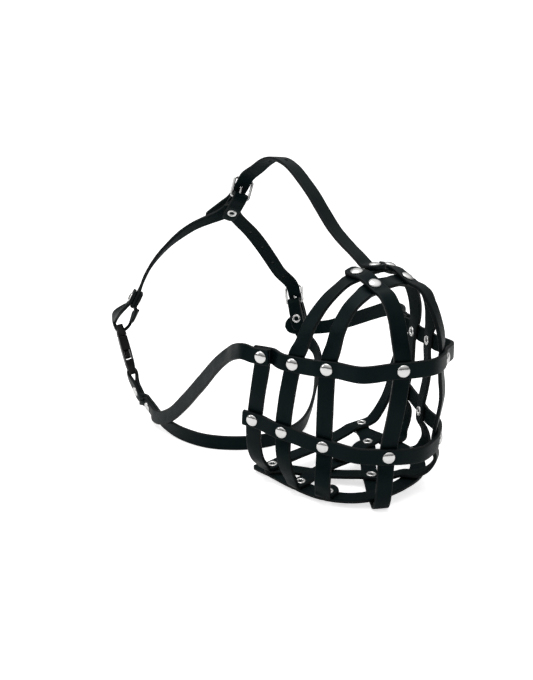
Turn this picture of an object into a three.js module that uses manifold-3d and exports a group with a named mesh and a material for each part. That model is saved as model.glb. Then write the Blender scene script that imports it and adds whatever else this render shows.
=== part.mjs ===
// Basket muzzle of riveted leather straps, with an adjustable collar: side-release clip on one side, two tongue buckles.
// Units are millimetres. +X points out of the nose, +Y is the wearer's left, +Z is up.
// The origin is on the ground, in the middle plane, below the rearmost pair of rivets of the upper band.
import * as THREE from "three";
import { mergeVertices } from "three/addons/utils/BufferGeometryUtils.js";
import Module from "manifold-3d";

const wasm = await Module();
wasm.setup();

// ---------- driving dimensions ----------
const GROUND = 108.6;        // height of the upper rivet row above the ground
const CENTRE_X = -72.11, CENTRE_Y = 9.03; // middle of the whole footprint, seen from the crossing of the two middle planes of the basket; the origin is put there
const STRAP_W = 12;          // leather strap width
const LEATHER = 2.5;         // leather thickness
const PLY = 3.1;             // pitch between the middles of two straps laid on one another
const CAP_R = 4.5;           // rivet cap radius
const CAP_H = 1.7;           // height of the domed cap
const RING_R = 4.1;          // radius of the ring on the inner end of a rivet
const RING_H = 0.9;
const SHANK_R = 1.5;
const HOLE_R = 1.95;         // rivet hole in leather
const SEAT = 0.4;            // clearance below a cap
const FLAT = 7;              // a strap lies flat this far each side of a rivet
const RIVET_SIDES = 8;
const HOLE_SIDES = 6;
const STEP = 11;             // distance between two cross-sections of a strap
const WIRE_R = 1.15;         // buckle wire radius
const BUCKLE_LEN = 16;       // from the hinge bar to the end bar
const BUCKLE_HALF = 7.9;     // half the width of a buckle frame, wire centre
const TONGUE_R = 0.85;
const CLIP_W = 22;           // plastic clip
const CLIP_T = 9;

// ---------- small vector tools ----------
const V = (x, y, z) => new THREE.Vector3(x, y, z);
const mir = (p) => [p[0], -p[1], p[2], p[3], -p[4], p[5], ...p.slice(6)];
const norm = (a) => { const l = Math.hypot(...a); return a.map((c) => c / l); };
const away = (p, n, d) => [p[0] + n[0] * d, p[1] + n[1] * d, p[2] + n[2] * d];

// ---------- solids ----------
function geometryOf(positions, triangles) {
  const g = new THREE.BufferGeometry();
  g.setAttribute("position", new THREE.Float32BufferAttribute(positions, 3));
  g.setIndex(triangles);
  return g;
}
function solid(geometry) {
  const g = geometry.clone();
  for (const n of Object.keys(g.attributes)) if (n !== "position") g.deleteAttribute(n);
  const m = mergeVertices(g, 1e-4);
  return new wasm.Manifold(new wasm.Mesh({
    numProp: 3,
    vertProperties: new Float32Array(m.attributes.position.array),
    triVerts: new Uint32Array(m.index.array),
  }));
}
function geometryFrom(s) {
  const m = s.getMesh();
  const pos = new Float32Array(m.numVert * 3);
  for (let i = 0; i < m.numVert; i++)
    for (let k = 0; k < 3; k++) pos[3 * i + k] = m.vertProperties[m.numProp * i + k];
  const g = new THREE.BufferGeometry();
  g.setAttribute("position", new THREE.BufferAttribute(pos, 3));
  g.setIndex(Array.from(m.triVerts));
  return g;
}
// Matrix whose X, Y, Z columns are the three axes given, placed at p.
function frameAt(p, x, y, z) {
  return new THREE.Matrix4().makeBasis(V(...x), V(...y), V(...z)).setPosition(V(...p));
}
// Any frame whose Z is n.
function frameZ(p, n) {
  const z = V(...n).normalize();
  const t = Math.abs(z.z) < 0.9 ? V(0, 0, 1) : V(1, 0, 0);
  const x = t.clone().cross(z).normalize();
  const y = z.clone().cross(x);
  return new THREE.Matrix4().makeBasis(x, y, z).setPosition(V(...p));
}

// ---------- straps ----------
// A strap follows control points [x, y, z, nx, ny, nz, flat]: the middle of its thickness, its outer side and, at a
// rivet, the half length over which it lies flat.
function route(pts) {
  const out = [];
  pts.forEach((p, i) => {
    if (!p[6]) return out.push(p);
    const a = pts[i - 1], b = pts[i + 1], q = V(p[0], p[1], p[2]), n = V(p[3], p[4], p[5]).normalize();
    const T = V(0, 0, 0);
    if (a) T.add(q.clone().sub(V(a[0], a[1], a[2])).normalize());
    if (b) T.add(V(b[0], b[1], b[2]).sub(q).normalize());
    T.addScaledVector(n, -T.dot(n)).normalize();
    const far = (c) => c && Math.hypot(c[0] - p[0], c[1] - p[1], c[2] - p[2]) > p[6] + 1.8;
    const beside = (d) => [...q.clone().addScaledVector(T, d).toArray(), ...n.toArray()];
    if (far(a)) out.push(beside(-p[6]));
    out.push([p[0], p[1], p[2], ...n.toArray()]);
    if (far(b)) out.push(beside(p[6]));
  });
  return out;
}
// Smooth course through the control points: at(s) gives the centre, the outer side and the width direction.
function course(points) {
  const pts = route(points), m = 16;
  const curve = new THREE.CatmullRomCurve3(pts.map((p) => V(p[0], p[1], p[2])), false, "centripetal");
  const last = (pts.length - 1) * m, len = [0];
  let before = curve.getPoint(0);
  for (let i = 1; i <= last; i++) {
    const q = curve.getPoint(i / last);
    len.push(len[i - 1] + q.distanceTo(before));
    before = q;
  }
  const total = len[last];
  const at = (s) => {
    let i = 0;
    while (i < last - 1 && len[i + 1] < s) i++;
    const t = Math.min(1, Math.max(0, (i + (s - len[i]) / (len[i + 1] - len[i])) / last));
    const k = t * (pts.length - 1), a = Math.min(Math.floor(k), pts.length - 2);
    const T = curve.getTangent(t).normalize();
    const N = V(...pts[a].slice(3, 6)).normalize().lerp(V(...pts[a + 1].slice(3, 6)).normalize(), k - a);
    N.addScaledVector(T, -N.dot(T)).normalize();
    return { p: curve.getPoint(t), N, W: T.clone().cross(N) };
  };
  return { total, at, knots: pts.map((p, i) => len[i * m]) };
}
// end outlines, as [distance from the end, share of the half width]
const ENDS = { square: [[0, 1]], round: [[0, 0.42], [0.8, 0.66], [2.6, 0.9], [6, 1]], chamfer: [[0, 0.62], [2.3, 1]] };
function strap(points, { w = STRAP_W, t = LEATHER, start = "square", end = "square", step = STEP } = {}) {
  const c = course(points), total = c.total;
  const a = ENDS[start], b = ENDS[end];
  const rows = a.map(([d, h]) => [d, h]);
  const from = a[a.length - 1][0], to = total - b[b.length - 1][0];
  const stops = [from, ...c.knots.filter((k) => k > from + 1 && k < to - 1), to];
  for (let i = 0; i + 1 < stops.length; i++) {
    const n = Math.max(1, Math.round((stops[i + 1] - stops[i]) / step));
    for (let j = 1; j <= n; j++) if (i + 2 < stops.length || j < n) rows.push([stops[i] + ((stops[i + 1] - stops[i]) * j) / n, 1]);
  }
  for (const [d, h] of b.slice().reverse()) rows.push([total - d, h]);
  const pos = [], tri = [];
  rows.forEach(([s, h]) => {
    const f = c.at(s);
    for (const [cw, cn] of [[-1, -1], [1, -1], [1, 1], [-1, 1]]) {
      const q = f.p.clone().addScaledVector(f.W, (cw * h * w) / 2).addScaledVector(f.N, (cn * t) / 2);
      pos.push(q.x, q.y, q.z);
    }
  });
  const quad = (i, j, k, l) => tri.push(i, j, k, i, k, l);
  for (let r = 0; r + 1 < rows.length; r++)
    for (let e = 0; e < 4; e++) {
      const e2 = (e + 1) % 4;
      quad(4 * r + e, 4 * r + e2, 4 * (r + 1) + e2, 4 * (r + 1) + e);
    }
  quad(3, 2, 1, 0);
  const L = 4 * (rows.length - 1);
  quad(L, L + 1, L + 2, L + 3);
  return rightWayOut(pos, tri);
}
function rightWayOut(pos, tri) {
  const s = solid(geometryOf(pos, tri));
  if (s.volume() > 0) return s;
  for (let i = 0; i < tri.length; i += 3) [tri[i + 1], tri[i + 2]] = [tri[i + 2], tri[i + 1]];
  return solid(geometryOf(pos, tri));
}
function drill(s, p, n, r = HOLE_R, len = 14, sides = HOLE_SIDES) {
  const c = new THREE.CylinderGeometry(r, r, len, sides);
  c.rotateX(Math.PI / 2);
  c.applyMatrix4(frameZ(p, n));
  return s.subtract(solid(c));
}
function cutBox(s, matrix, sx, sy, sz) {
  const b = new THREE.BoxGeometry(sx, sy, sz);
  b.applyMatrix4(matrix);
  return s.subtract(solid(b));
}

// ---------- rivets ----------
// A rivet is given by the centre of the outer face of its outermost strap, the outward axis and the straps it joins.
// Ply k is the k-th strap counted inwards.
function ply(r, k) {
  return [...away(r.p, r.n, -(LEATHER / 2 + k * PLY)), ...r.n, FLAT];
}
// end of a strap that stops at a rivet, d beyond it in direction u
function endAt(r, k, u, d) {
  const q = V(...u).addScaledVector(V(...r.n), -V(...u).dot(V(...r.n))).normalize();
  return [...away(ply(r, k).slice(0, 3), q.toArray(), d), ...r.n];
}
function rivetSolid(r) {
  const depth = (r.plies - 1) * PLY + LEATHER + 2 * SEAT;
  const pts = [
    [0, CAP_H], [CAP_R * 0.68, CAP_H * 0.7], [CAP_R, 0],
    [SHANK_R, 0], [SHANK_R, -depth],
    [RING_R, -depth], [RING_R * 0.75, -depth - RING_H], [0, -depth - RING_H * 0.4],
  ].map(([x, y]) => new THREE.Vector2(x, y)).reverse();
  const g = new THREE.LatheGeometry(pts, RIVET_SIDES);
  g.rotateX(Math.PI / 2);
  g.applyMatrix4(frameZ(away(r.p, r.n, SEAT), r.n));
  return solid(g);
}

// Basket rivets of the wearer's right side, [x, y, z] of the outer strap face and outward axis.
const U1 = { p: [0, -77.3, 0], n: norm([0.42, -0.905, 0.0]), plies: 3 };
const U2 = { p: [21.2, -65.9, -2.5], n: norm([0.42, -0.907, 0.0]), plies: 2 };
const U3 = { p: [45.7, -55.8, -2.3], n: norm([0.5, -0.866, 0.0]), plies: 2 };
const UF = { p: [86.6, -22.6, 0], n: norm([0.84, -0.54, -0.02]), plies: 2 };
const L1 = { p: [-10, -77.6, -51], n: norm([0.4, -0.91, -0.06]), plies: 2 };
const L2 = { p: [13, -68.9, -55.6], n: norm([0.44, -0.89, -0.08]), plies: 2 };
const L3 = { p: [42, -55, -61.3], n: norm([0.5, -0.86, -0.06]), plies: 2 };
const LF = { p: [80.3, -27.2, -64.4], n: norm([0.84, -0.54, -0.05]), plies: 2 };
const TR = { p: [33.9, -17.1, 59.6], n: norm([0.12, -0.22, 0.97]), plies: 2 };
const TF = { p: [51.6, -16.6, 54.0], n: norm([0.42, -0.2, 0.88]), plies: 2 };
const TC = { p: [34.6, 0, 62.0], n: norm([-0.1, 0, 0.99]), plies: 2 };
const left = (r) => ({ p: [r.p[0], -r.p[1], r.p[2]], n: [r.n[0], -r.n[1], r.n[2]], plies: r.plies });

// ---------- upper band: outside the straps, under the rear ones ----------
const upperRight = [
  endAt(U1, 2, [-0.905, -0.42, 0], 8.4),
  ply(U1, 2),
  [9.3, -68.6, -1.2, ...U2.n],
  ply(U2, 0), ply(U3, 0),
  [71.2, -46.2, -1.6, ...norm([0.66, -0.75, 0])],
  ply(UF, 0),
];
const upperBandPts = [...upperRight, [94.4, 0, 0.6, 1, 0, 0], ...upperRight.map(mir).reverse()];
// ---------- lower band: outside every strap ----------
const lowerRight = [
  endAt(L1, 0, [-0.91, -0.4, 0.1], 8.4),
  ply(L1, 0), ply(L2, 0), ply(L3, 0),
  [64.6, -43.4, -63.6, ...norm([0.64, -0.76, -0.05])],
  ply(LF, 0),
];
const lowerBandPts = [...lowerRight, [88, 0, -66.2, 1, 0, -0.08], ...lowerRight.map(mir).reverse()];

// ---------- under the chin ----------
const FLOOR = -GROUND;
const RIM_TILT = 0.075;                            // the rim rises to the wearer's left
const rimZ = (y) => FLOOR + 4.35 + RIM_TILT * (y + 50);
const down = norm([0, RIM_TILT, -1]);
const under = (x, y, plies, extra = 0) => ({ p: [x, y, rimZ(y) - LEATHER / 2 + extra], n: down, plies });
const Y3 = under(-19, -50, 3);                     // rear strap, right front-strap end and rim
const X1 = under(-22, 50, 3);
const Y2 = under(13, -49.5, 2);                    // middle strap on the rim
const Y2L = under(13, 49.5, 2);
const F3 = under(39, -45.3, 2);                    // front loop on the rim
const F3L = under(39, 45.3, 2);
const X3 = { p: [38, 0, FLOOR + 2.75], n: [0, 0, -1], plies: 2 };   // the two front straps where they cross
const Y1 = { p: [8, 0, FLOOR + 8.5], n: [0, 0, -1], plies: 2 };     // overlapped ends of the middle loop
const onRim = (x, y, k) => [x, y, rimZ(y) + k * PLY, ...down];
// front strap below the middle chin strap
const XL = { p: [4.5, 30.5, FLOOR + 10.7], n: norm([0, 0.1, -1]), plies: 2 };

// rear side straps: from the upper band, over the rim and under the chin as one strap
const rearRight = (d) => [
  endAt(U1, 1, [0.02, 0, 1], 5.6),
  ply(U1, 1),
  [-5.5, -74.8, -26, ...norm([0.42, -0.905, -0.02])],
  ply(L1, 1),
  [-16.2, -70.6, -75 + 0.4 * d, ...norm([0.36, -0.9, -0.26])],
  [-18.3, -65.6, -88 + 0.8 * d, ...norm([0.24, -0.84, -0.48])],
  [-19, -59.2, -95.6 + d, ...norm([0.1, -0.5, -0.86])],
];
const rearLoopPts = [
  ...rearRight(0), ply(Y3, 2),
  [-20.5, -26, FLOOR + 11.6, 0, 0.05, -1], [-21, 0, FLOOR + 12.6, 0, 0.05, -1], [-21.5, 27, FLOOR + 16, 0, 0.08, -1], [-21.9, 38, FLOOR + 18.2, 0, 0.08, -1],
  ply(X1, 2),
  ...rearRight(8).map(mir).reverse(),
];
// middle loop: second side straps, rear arch and chin strap in one; its ends overlap under the chin
const midRight = (d) => [
  [13.2, -59.4, -95.5 + d, ...norm([0.06, -0.6, -0.8])],
  [13.2, -63.8, -86 + 0.8 * d, ...norm([0.16, -0.9, -0.4])],
  [12.6, -66.6, -73 + 0.4 * d, ...norm([0.32, -0.93, -0.16])],
  ply(L2, 1),
  [15.2, -65.2, -28, ...norm([0.42, -0.907, -0.02])],
  ply(U2, 1),
  [23.6, -59.2, 10.5, ...norm([0.16, -0.97, 0.14])],
  [26.6, -54.2, 25.5, ...norm([0.05, -0.9, 0.42])],
  [30.2, -42.6, 41.5, ...norm([-0.05, -0.7, 0.71])],
  [32.5, -28.5, 51.6, ...norm([-0.08, -0.5, 0.86])],
  ply(TR, 1),
];
const midLoopPts = [
  endAt(Y1, 0, [0, 1, 0], 9.5), ply(Y1, 0), [8, -13, FLOOR + 9.6, 0, 0, -1], [9.5, -28.5, FLOOR + 9.2, 0, 0, -1], [11.5, -37.5, FLOOR + 9.3, 0, 0, -1], ply(Y2, 1),
  ...midRight(0), ply(TC, 1), ...midRight(7).map(mir).reverse(),
  ply(Y2L, 1), [7.4, 40.4, FLOOR + 16.8, 0, 0.1, -1], ply(XL, 1), [8, 13, FLOOR + 12.6, 0, 0.05, -1], ply(Y1, 1), endAt(Y1, 1, [0, -1, 0], 9.5),
];
// front loop: third side straps and front arch; its ends are turned in over the rim
const frontRight = (d) => [
  d ? mir(onRim(38, 36.2, 1)) : onRim(38, -36.2, 1),
  d ? mir(ply(F3L, 1)) : ply(F3, 1),
  [41.5, -53.4, -97.5 + d, ...norm([0.14, -0.66, -0.74])],
  [43.2, -55.6, -89 + 0.7 * d, ...norm([0.36, -0.9, -0.3])],
  [42.6, -54.2, -78 + 0.3 * d, ...norm([0.46, -0.88, -0.1])],
  ply(L3, 1),
  [42.9, -53.6, -30, ...norm([0.5, -0.866, -0.02])],
  ply(U3, 1),
  [46.4, -50.4, 12, ...norm([0.22, -0.97, 0.12])],
  [48.4, -47.3, 26, ...norm([0.12, -0.91, 0.4])],
  [50.0, -39.0, 39.5, ...norm([0.06, -0.7, 0.7])],
  [50.8, -27.5, 47.2, ...norm([0.2, -0.45, 0.87])],
  ply(TF, 1),
];
const frontLoopPts = [...frontRight(0), [51.4, 0, 52.4, 0.2, 0, 0.98], ...frontRight(6.8).map(mir).reverse()];
// front straps: from the crown down the nose, turned in at the rim, crossing under the chin
const frontTop = [
  endAt(TR, 0, [-0.97, -0.1, 0.1], 8),
  ply(TR, 0), ply(TF, 0),
  [64.6, -17.9, 47.6, ...norm([0.66, -0.25, 0.71])],
  [74, -19.2, 36, ...norm([0.84, -0.3, 0.45])],
  [81.2, -20.9, 17, ...norm([0.9, -0.4, 0.18])],
  ply(UF, 1),
  [82.5, -24.0, -30, ...norm([0.86, -0.5, -0.04])],
  ply(LF, 1),
];
const frontStrapRight = [
  ...frontTop,
  [77.4, -27.6, -84, ...norm([0.85, -0.5, -0.1])],
  [76.2, -27.6, -98.5, ...norm([0.84, -0.46, -0.26])],
  [72.4, -25.6, -105.8, ...norm([0.5, -0.3, -0.81])],
  [66, -20.8, FLOOR + 1.3, 0, 0, -1],
  [54, -12.2, FLOOR + 1.3, 0, 0, -1],
  ply(X3, 0),
  [22, 13, FLOOR + 6.8, 0, 0, -1],
  ply(XL, 0),
  [-7.6, 40.4, FLOOR + 14.25, 0, 0.1, -1],
  ply(X1, 1),
  onRim(-27, 55, 1),
];
const frontStrapLeft = [
  ...frontTop.map(mir),
  [78, 26.8, -79, ...norm([0.84, 0.5, -0.2])],
  [73.6, 23.6, -90, ...norm([0.74, 0.44, -0.52])],
  [65.5, 18.4, FLOOR + 13.2, ...norm([0.3, 0.2, -0.9])],
  [57.5, 13, FLOOR + 12.4, ...norm([0.1, 0, -1])],
  [49.5, 7.6, FLOOR + 8.6, ...norm([0.1, 0, -1])],
  ply(X3, 1),
  [22, -13, FLOOR + 6.2, 0, 0, -1],
  [4.5, -28.5, FLOOR + 5.9, 0, 0, -1],
  [-8, -40.5, FLOOR + 7.7, 0, 0.03, -1],
  ply(Y3, 1),
  onRim(-24, -54.6, 1),
];
// bottom rim: one flat strap around the bottom edge
const rimSide = [[-38, 50.6], [-20, 50], [8, 49.8], [32, 47], [50, 38.5], [61, 24]];
const rimPts = [
  ...rimSide.map(([x, y]) => [x, -y, rimZ(-y), ...down]), [65.2, 0, rimZ(0), ...down],
  ...rimSide.map(([x, y]) => [x, y, rimZ(y), ...down]).reverse(),
];

// ---------- collar frames ----------
// A local frame: T along the strap away from the buckle, N to the outer side, W across.
function collarFrame(p, t, n) {
  const T = V(...t).normalize(), N = V(...n);
  N.addScaledVector(T, -N.dot(T)).normalize();
  const W = T.clone().cross(N);
  const at = (s, nn, w = 0) => V(...p).addScaledVector(T, s).addScaledVector(N, nn).addScaledVector(W, w);
  const row = (s, nn, w = 0, dn = [0, 1, 0]) => {
    const q = at(s, nn, w);
    const d = new THREE.Vector3().addScaledVector(T, dn[0]).addScaledVector(N, dn[1]).addScaledVector(W, dn[2]);
    return [q.x, q.y, q.z, d.x, d.y, d.z];
  };
  return { p, T, N, W, at, row, n: N.toArray(), basis: (s, nn, w = 0) => new THREE.Matrix4().makeBasis(T, N, W).setPosition(at(s, nn, w)) };
}
const PLY_J = 3.1;
const J = collarFrame([-139.6, 6.6, 86.9], [-0.8305, -0.1701, -0.5303], [-0.5316, 0.5262, 0.6637]);   // crown junction
const S = collarFrame([-147.2, 89.8, -30.8], [0.30, 0.02, -0.95], [-0.5, 0.82, -0.2]);                // left side junction
const turned = (F, deg) => {
  const c = Math.cos((deg * Math.PI) / 180), s = Math.sin((deg * Math.PI) / 180);
  return collarFrame(F.p, new THREE.Vector3().addScaledVector(F.T, c).addScaledVector(F.W, s).toArray(), F.N.toArray());
};
const JB = turned(J, 17);       // the buckle tab sits askew on the crown junction
const JH = turned(J, -34);      // and so does the holed strap
const RJ = { p: J.p, n: J.n, plies: 4 };
const RS = { p: S.p, n: S.n, plies: 4 };
const BAR_S = -15, BAR_N = -(LEATHER / 2 + 1.5 * PLY_J);
// folded tab: both legs are riveted, the fold holds the hinge bar of a buckle
const tabPts = (F) => [
  F.row(8.5, -1.25), F.row(0, -1.25), F.row(-6, -1.35), F.row(-10.5, -2.1), F.row(BAR_S, BAR_N + 3.1),
  F.row(BAR_S - 2.25, BAR_N + 2.2, 0, [-0.7, 0.7, 0]), F.row(BAR_S - 3.1, BAR_N, 0, [-1, 0, 0]), F.row(BAR_S - 2.25, BAR_N - 2.2, 0, [-0.7, -0.7, 0]),
  F.row(BAR_S, BAR_N - 3.1, 0, [0, -1, 0]), F.row(-10.5, -9.7, 0, [0, -1, 0]), F.row(-6, -10.45, 0, [0, -1, 0]), F.row(0, -10.55, 0, [0, -1, 0]), F.row(11, -10.55, 0, [0, -1, 0]),
];
// strap ends that run below the end bar, through the frame and over the tab
const throughTop = [
  JB.row(-29, 6.3), JB.row(-22.5, 5.2), JB.row(-15, 4.2), JB.row(-7, 3.8), J.row(0, 4), J.row(12, 3.8), J.row(35, 3.2),
];
const throughSide = [
  S.row(-31, -2.1), S.row(-22, -0.9), S.row(-15, 1.1), S.row(-8, 3.4), S.row(0, 3.9), S.row(14, 3.5),
];
const foreheadPts = [
  [43.5, 0, 61.9, ...TC.n], ply(TC, 0), [19.5, 0, 65.2, ...norm([0.45, 0, 0.89])], [6.6, 0, 72.7, ...norm([0.56, 0, 0.83])], [-6.6, 0, 81.8, ...norm([0.63, 0, 0.78])],
  [-18.6, 0, 93.2, ...norm([0.7, 0, 0.71])], [-30.5, 0, 105.3, ...norm([0.68, 0, 0.73])], [-42.6, 0, 115.5, ...norm([0.6, 0, 0.8])], [-55, 0, 124.2, ...norm([0.45, 0, 0.89])],
  [-67, 0.5, 128.3, ...norm([0.2, 0, 0.98])], [-81, 2.5, 128.2, ...norm([-0.08, 0.1, 0.99])], [-93, 4.4, 124.6, ...norm([-0.3, 0.25, 0.92])], [-105, 5.6, 118.4, ...norm([-0.45, 0.38, 0.81])],
  ...throughTop,
];
const holedPts = [
  JH.row(0, -LEATHER / 2 - 2 * PLY_J, -6.6), JH.row(0, -LEATHER / 2 - 2 * PLY_J, 0), JH.row(0, -LEATHER / 2 - 2 * PLY_J, 9),
  [-142, 27.3, 59, ...norm([-0.62, 0.5, 0.6])], [-145.6, 42, 44.8, ...norm([-0.72, 0.48, 0.48])], [-149.5, 56, 30, ...norm([-0.72, 0.54, 0.35])], [-153.3, 69.5, 15.4, ...norm([-0.66, 0.68, 0.2])],
  ...throughSide,
];
const neckPts = [
  J.row(-6.6, -LEATHER / 2 - PLY_J), J.row(0, -LEATHER / 2 - PLY_J), J.row(12, -LEATHER / 2 - PLY_J),
  [-164.4, -21, 65.2, ...norm([-0.62, 0.1, 0.74])],
  [-181.6, -37, 46.5, ...norm([-0.62, -0.36, 0.69])], [-196.2, -46, 26, ...norm([-0.52, -0.62, 0.58])],
];
// ---------- side-release clip on the wearer's right ----------
const CL = collarFrame([-221.5, -58, -51], [0.382, 0.03, -0.921], [-0.39, -0.898, -0.19]);
const MB = -21.5, FB = 21.5;                       // the two strap bars
const UL = collarFrame([-210.6, -56.7, 0.7], [-0.2567, -0.4026, -0.8789], [-0.4236, -0.7226, 0.5443]);   // rivet of the upper loop
const RU = { p: UL.at(0, 0).toArray(), n: UL.n, plies: 3 };
neckPts.push(UL.row(-9, -LEATHER / 2 - PLY), UL.row(0, -LEATHER / 2 - PLY), UL.row(7.5, -LEATHER / 2 - PLY));
const upperLoopPts = [
  UL.row(-7.5, -1.25), UL.row(0, -1.25), UL.row(5.5, -1.25), UL.row(11.5, 0.9, 0, [-0.2, 1, 0]), CL.row(MB - 8, 3.3, 0, [-0.1, 1, 0]), CL.row(MB - 1.5, 3.6, 0, [0.15, 1, 0]),
  CL.row(MB + 2.6, 2.4, 0, [0.8, 0.6, 0]), CL.row(MB + 3.9, -0.6, 0, [1, 0, 0]), CL.row(MB + 3.3, -4.6, 0, [0.93, -0.37, 0]), CL.row(MB + 0.4, -9.4, 0, [0.7, -0.71, 0]),
  CL.row(MB - 5, -13.2, 0, [0.45, -0.9, 0]), UL.row(12, -11.2, 0, [0.1, -1, 0]), UL.row(5.5, -LEATHER / 2 - 2 * PLY, 0, [0, -1, 0]), UL.row(0, -LEATHER / 2 - 2 * PLY, 0, [0, -1, 0]), UL.row(-8, -LEATHER / 2 - 2 * PLY, 0, [0, -1, 0]),
];
const LO = collarFrame([-203.1, -60.9, -85.9], [0.62, 0.05, -0.78], [-0.14, -0.965, -0.22]);   // rivet of the lower loop
const RL = { p: LO.p, n: LO.n, plies: 2 };
const CK = collarFrame([-184.5, -60.4, -95.4], [0.72, -0.02, -0.5], [-0.22, -0.96, -0.18]);    // cheek strap on the collar
const RK = { p: CK.p, n: CK.n, plies: 2 };
const throatPts = [
  S.row(-7.5, -LEATHER / 2 - 2 * PLY_J), S.row(0, -LEATHER / 2 - 2 * PLY_J), S.row(12, -LEATHER / 2 - 2 * PLY_J),
  [-118.5, 86, -58, ...norm([0.1, 0.98, 0.1])], [-104, 72, -82, ...norm([0.55, 0.83, -0.05])],
  [-88, 50, -98.5, ...norm([0.75, 0.62, -0.2])], [-72, 24, -102.2, ...norm([0.92, 0.3, -0.05])], [-66, -4, -102.4, ...norm([1, -0.1, 0])],
  [-74, -32, -102.4, ...norm([0.74, -0.67, 0])], [-96, -54.5, -102.3, ...norm([0.45, -0.89, 0])], [-124, -63, -102, ...norm([0.1, -0.99, 0])],
  [-152, -62.4, -100.8, ...norm([-0.05, -0.99, -0.03])],
  [-169, -59.2, -98.6, ...norm([-0.12, -0.98, -0.05])],
  ply(CK, 1),
  LO.row(6, -1.25), LO.row(0, -1.25), LO.row(-6, -1.1), CL.row(FB + 1.5, 3.7),
  CL.row(FB - 2.6, 2.6, 0, [-0.7, 0.7, 0]), CL.row(FB - 3.7, 0, 0, [-1, 0, 0]), CL.row(FB - 2.6, -2.6, 0, [-0.7, -0.7, 0]),
  CL.row(FB + 1.5, -3.7, 0, [0, -1, 0]), LO.row(-6, -4.6, 0, [0, -1, 0]), LO.row(0, -LEATHER / 2 - PLY, 0, [0, -1, 0]), LO.row(6.5, -LEATHER / 2 - PLY, 0, [0, -1, 0]),
];
const cheekRightPts = [
  endAt(U1, 0, [0.905, 0.42, 0], 6), ply(U1, 0), [-12.5, -82.2, 2.4, ...norm([0.28, -0.94, 0.18])],
  [-26, -80.6, -1.4, ...norm([0, -0.93, 0.37])], [-38.5, -77.6, -7.8, ...norm([-0.12, -0.9, 0.4])], [-57, -75, -21.2, ...norm([-0.2, -0.95, 0.22])],
  [-82, -72, -43, ...norm([-0.12, -0.99, 0.05])], [-111, -69, -68, ...norm([0.02, -0.99, 0.1])], [-134, -67.4, -86, ...norm([0.1, -0.97, 0.22])],
  [-155, -65.6, -96.2, ...norm([0.02, -0.97, 0.2])], [-170, -62.8, -98.6, ...norm([-0.1, -0.98, 0.1])],
  ply(CK, 0), CK.row(-8.8, 3.4, 2.4, [0.5, 1, 0.2]),
];
const U1L = left(U1);
const cheekLeftPts = [
  mir(endAt(U1, 0, [0.905, 0.42, 0], 6)), ply(U1L, 0), [-12, 85.2, 2.6, ...norm([0.42, 0.9, 0.1])], [-34, 92.4, 0, ...norm([0.25, 0.96, 0.1])],
  [-62, 98.4, -11, ...norm([0.1, 0.99, 0.05])], [-95.6, 101, -26, ...norm([-0.12, 0.99, 0])], [-122.4, 97.8, -36.4, ...norm([-0.3, 0.95, 0])],
  S.row(6.5, -LEATHER / 2 - PLY_J, -9.5), S.row(0, -LEATHER / 2 - PLY_J, 0), S.row(-3.5, -LEATHER / 2 - PLY_J, 5.2),
];



const root = new THREE.Group();
const leather = (hex = 0x15191a) => new THREE.MeshStandardMaterial({ color: hex, roughness: 0.42, metalness: 0 });
const nickel = () => new THREE.MeshStandardMaterial({ color: 0xc9c7c2, roughness: 0.18, metalness: 1 });
const plastic = () => new THREE.MeshStandardMaterial({ color: 0x0b0c0d, roughness: 0.25, metalness: 0 });
function add(name, s, material) {
  const m = new THREE.Mesh(geometryFrom(s), material);
  m.name = name;
  root.add(m);
  return m;
}
const rivets = [
  ["upper_rear_right", U1], ["upper_rear_left", left(U1)], ["upper_middle_right", U2], ["upper_middle_left", left(U2)],
  ["upper_side_right", U3], ["upper_side_left", left(U3)], ["upper_front_right", UF], ["upper_front_left", left(UF)],
  ["lower_rear_right", L1], ["lower_rear_left", left(L1)], ["lower_middle_right", L2], ["lower_middle_left", left(L2)],
  ["lower_side_right", L3], ["lower_side_left", left(L3)], ["lower_front_right", LF], ["lower_front_left", left(LF)],
  ["crown_rear_right", TR], ["crown_rear_left", left(TR)], ["crown_front_right", TF], ["crown_front_left", left(TF)], ["crown_center", TC],
  ["chin_rear_right", Y3], ["chin_rear_left", X1], ["rim_middle_right", Y2], ["rim_middle_left", Y2L], ["rim_front_right", F3], ["rim_front_left", F3L],
  ["chin_front", X3], ["chin_middle", Y1], ["chin_cross_left", XL],
  ["collar_top", RJ], ["collar_side", RS], ["clip_upper", RU], ["clip_lower", RL], ["collar_right", RK],
];
function strapNode(name, pts, opt, list, holes = []) {
  let s = strap(pts, opt);
  for (const r of list) s = drill(s, r.p, r.n, HOLE_R, 2 * (r.plies * PLY + 2));
  for (const h of holes) s = h(s);
  add(name, s, leather());
}
const pair = (...rs) => rs.flatMap((r) => [r, left(r)]);
strapNode("upper_band", upperBandPts, {}, pair(U1, U2, U3, UF));
strapNode("lower_band", lowerBandPts, {}, pair(L1, L2, L3, LF));
strapNode("rear_loop", rearLoopPts, {}, [...pair(U1, L1), Y3, X1]);
strapNode("middle_loop", midLoopPts, { start: "round", end: "round" }, [...pair(U2, L2, TR), TC, Y1, XL, Y2, Y2L]);
strapNode("front_loop", frontLoopPts, { start: "round", end: "round" }, [...pair(U3, L3, TF), F3, F3L]);
strapNode("front_strap_right", frontStrapRight, { start: "chamfer", end: "round" }, [TR, TF, UF, LF, X3, XL, X1]);
strapNode("front_strap_left", frontStrapLeft, { start: "chamfer", end: "round" }, [...[TR, TF, UF, LF].map(left), X3, Y3]);
strapNode("bottom_rim", rimPts, { start: "chamfer", end: "chamfer" }, [Y3, X1, Y2, Y2L, F3, F3L]);
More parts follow.
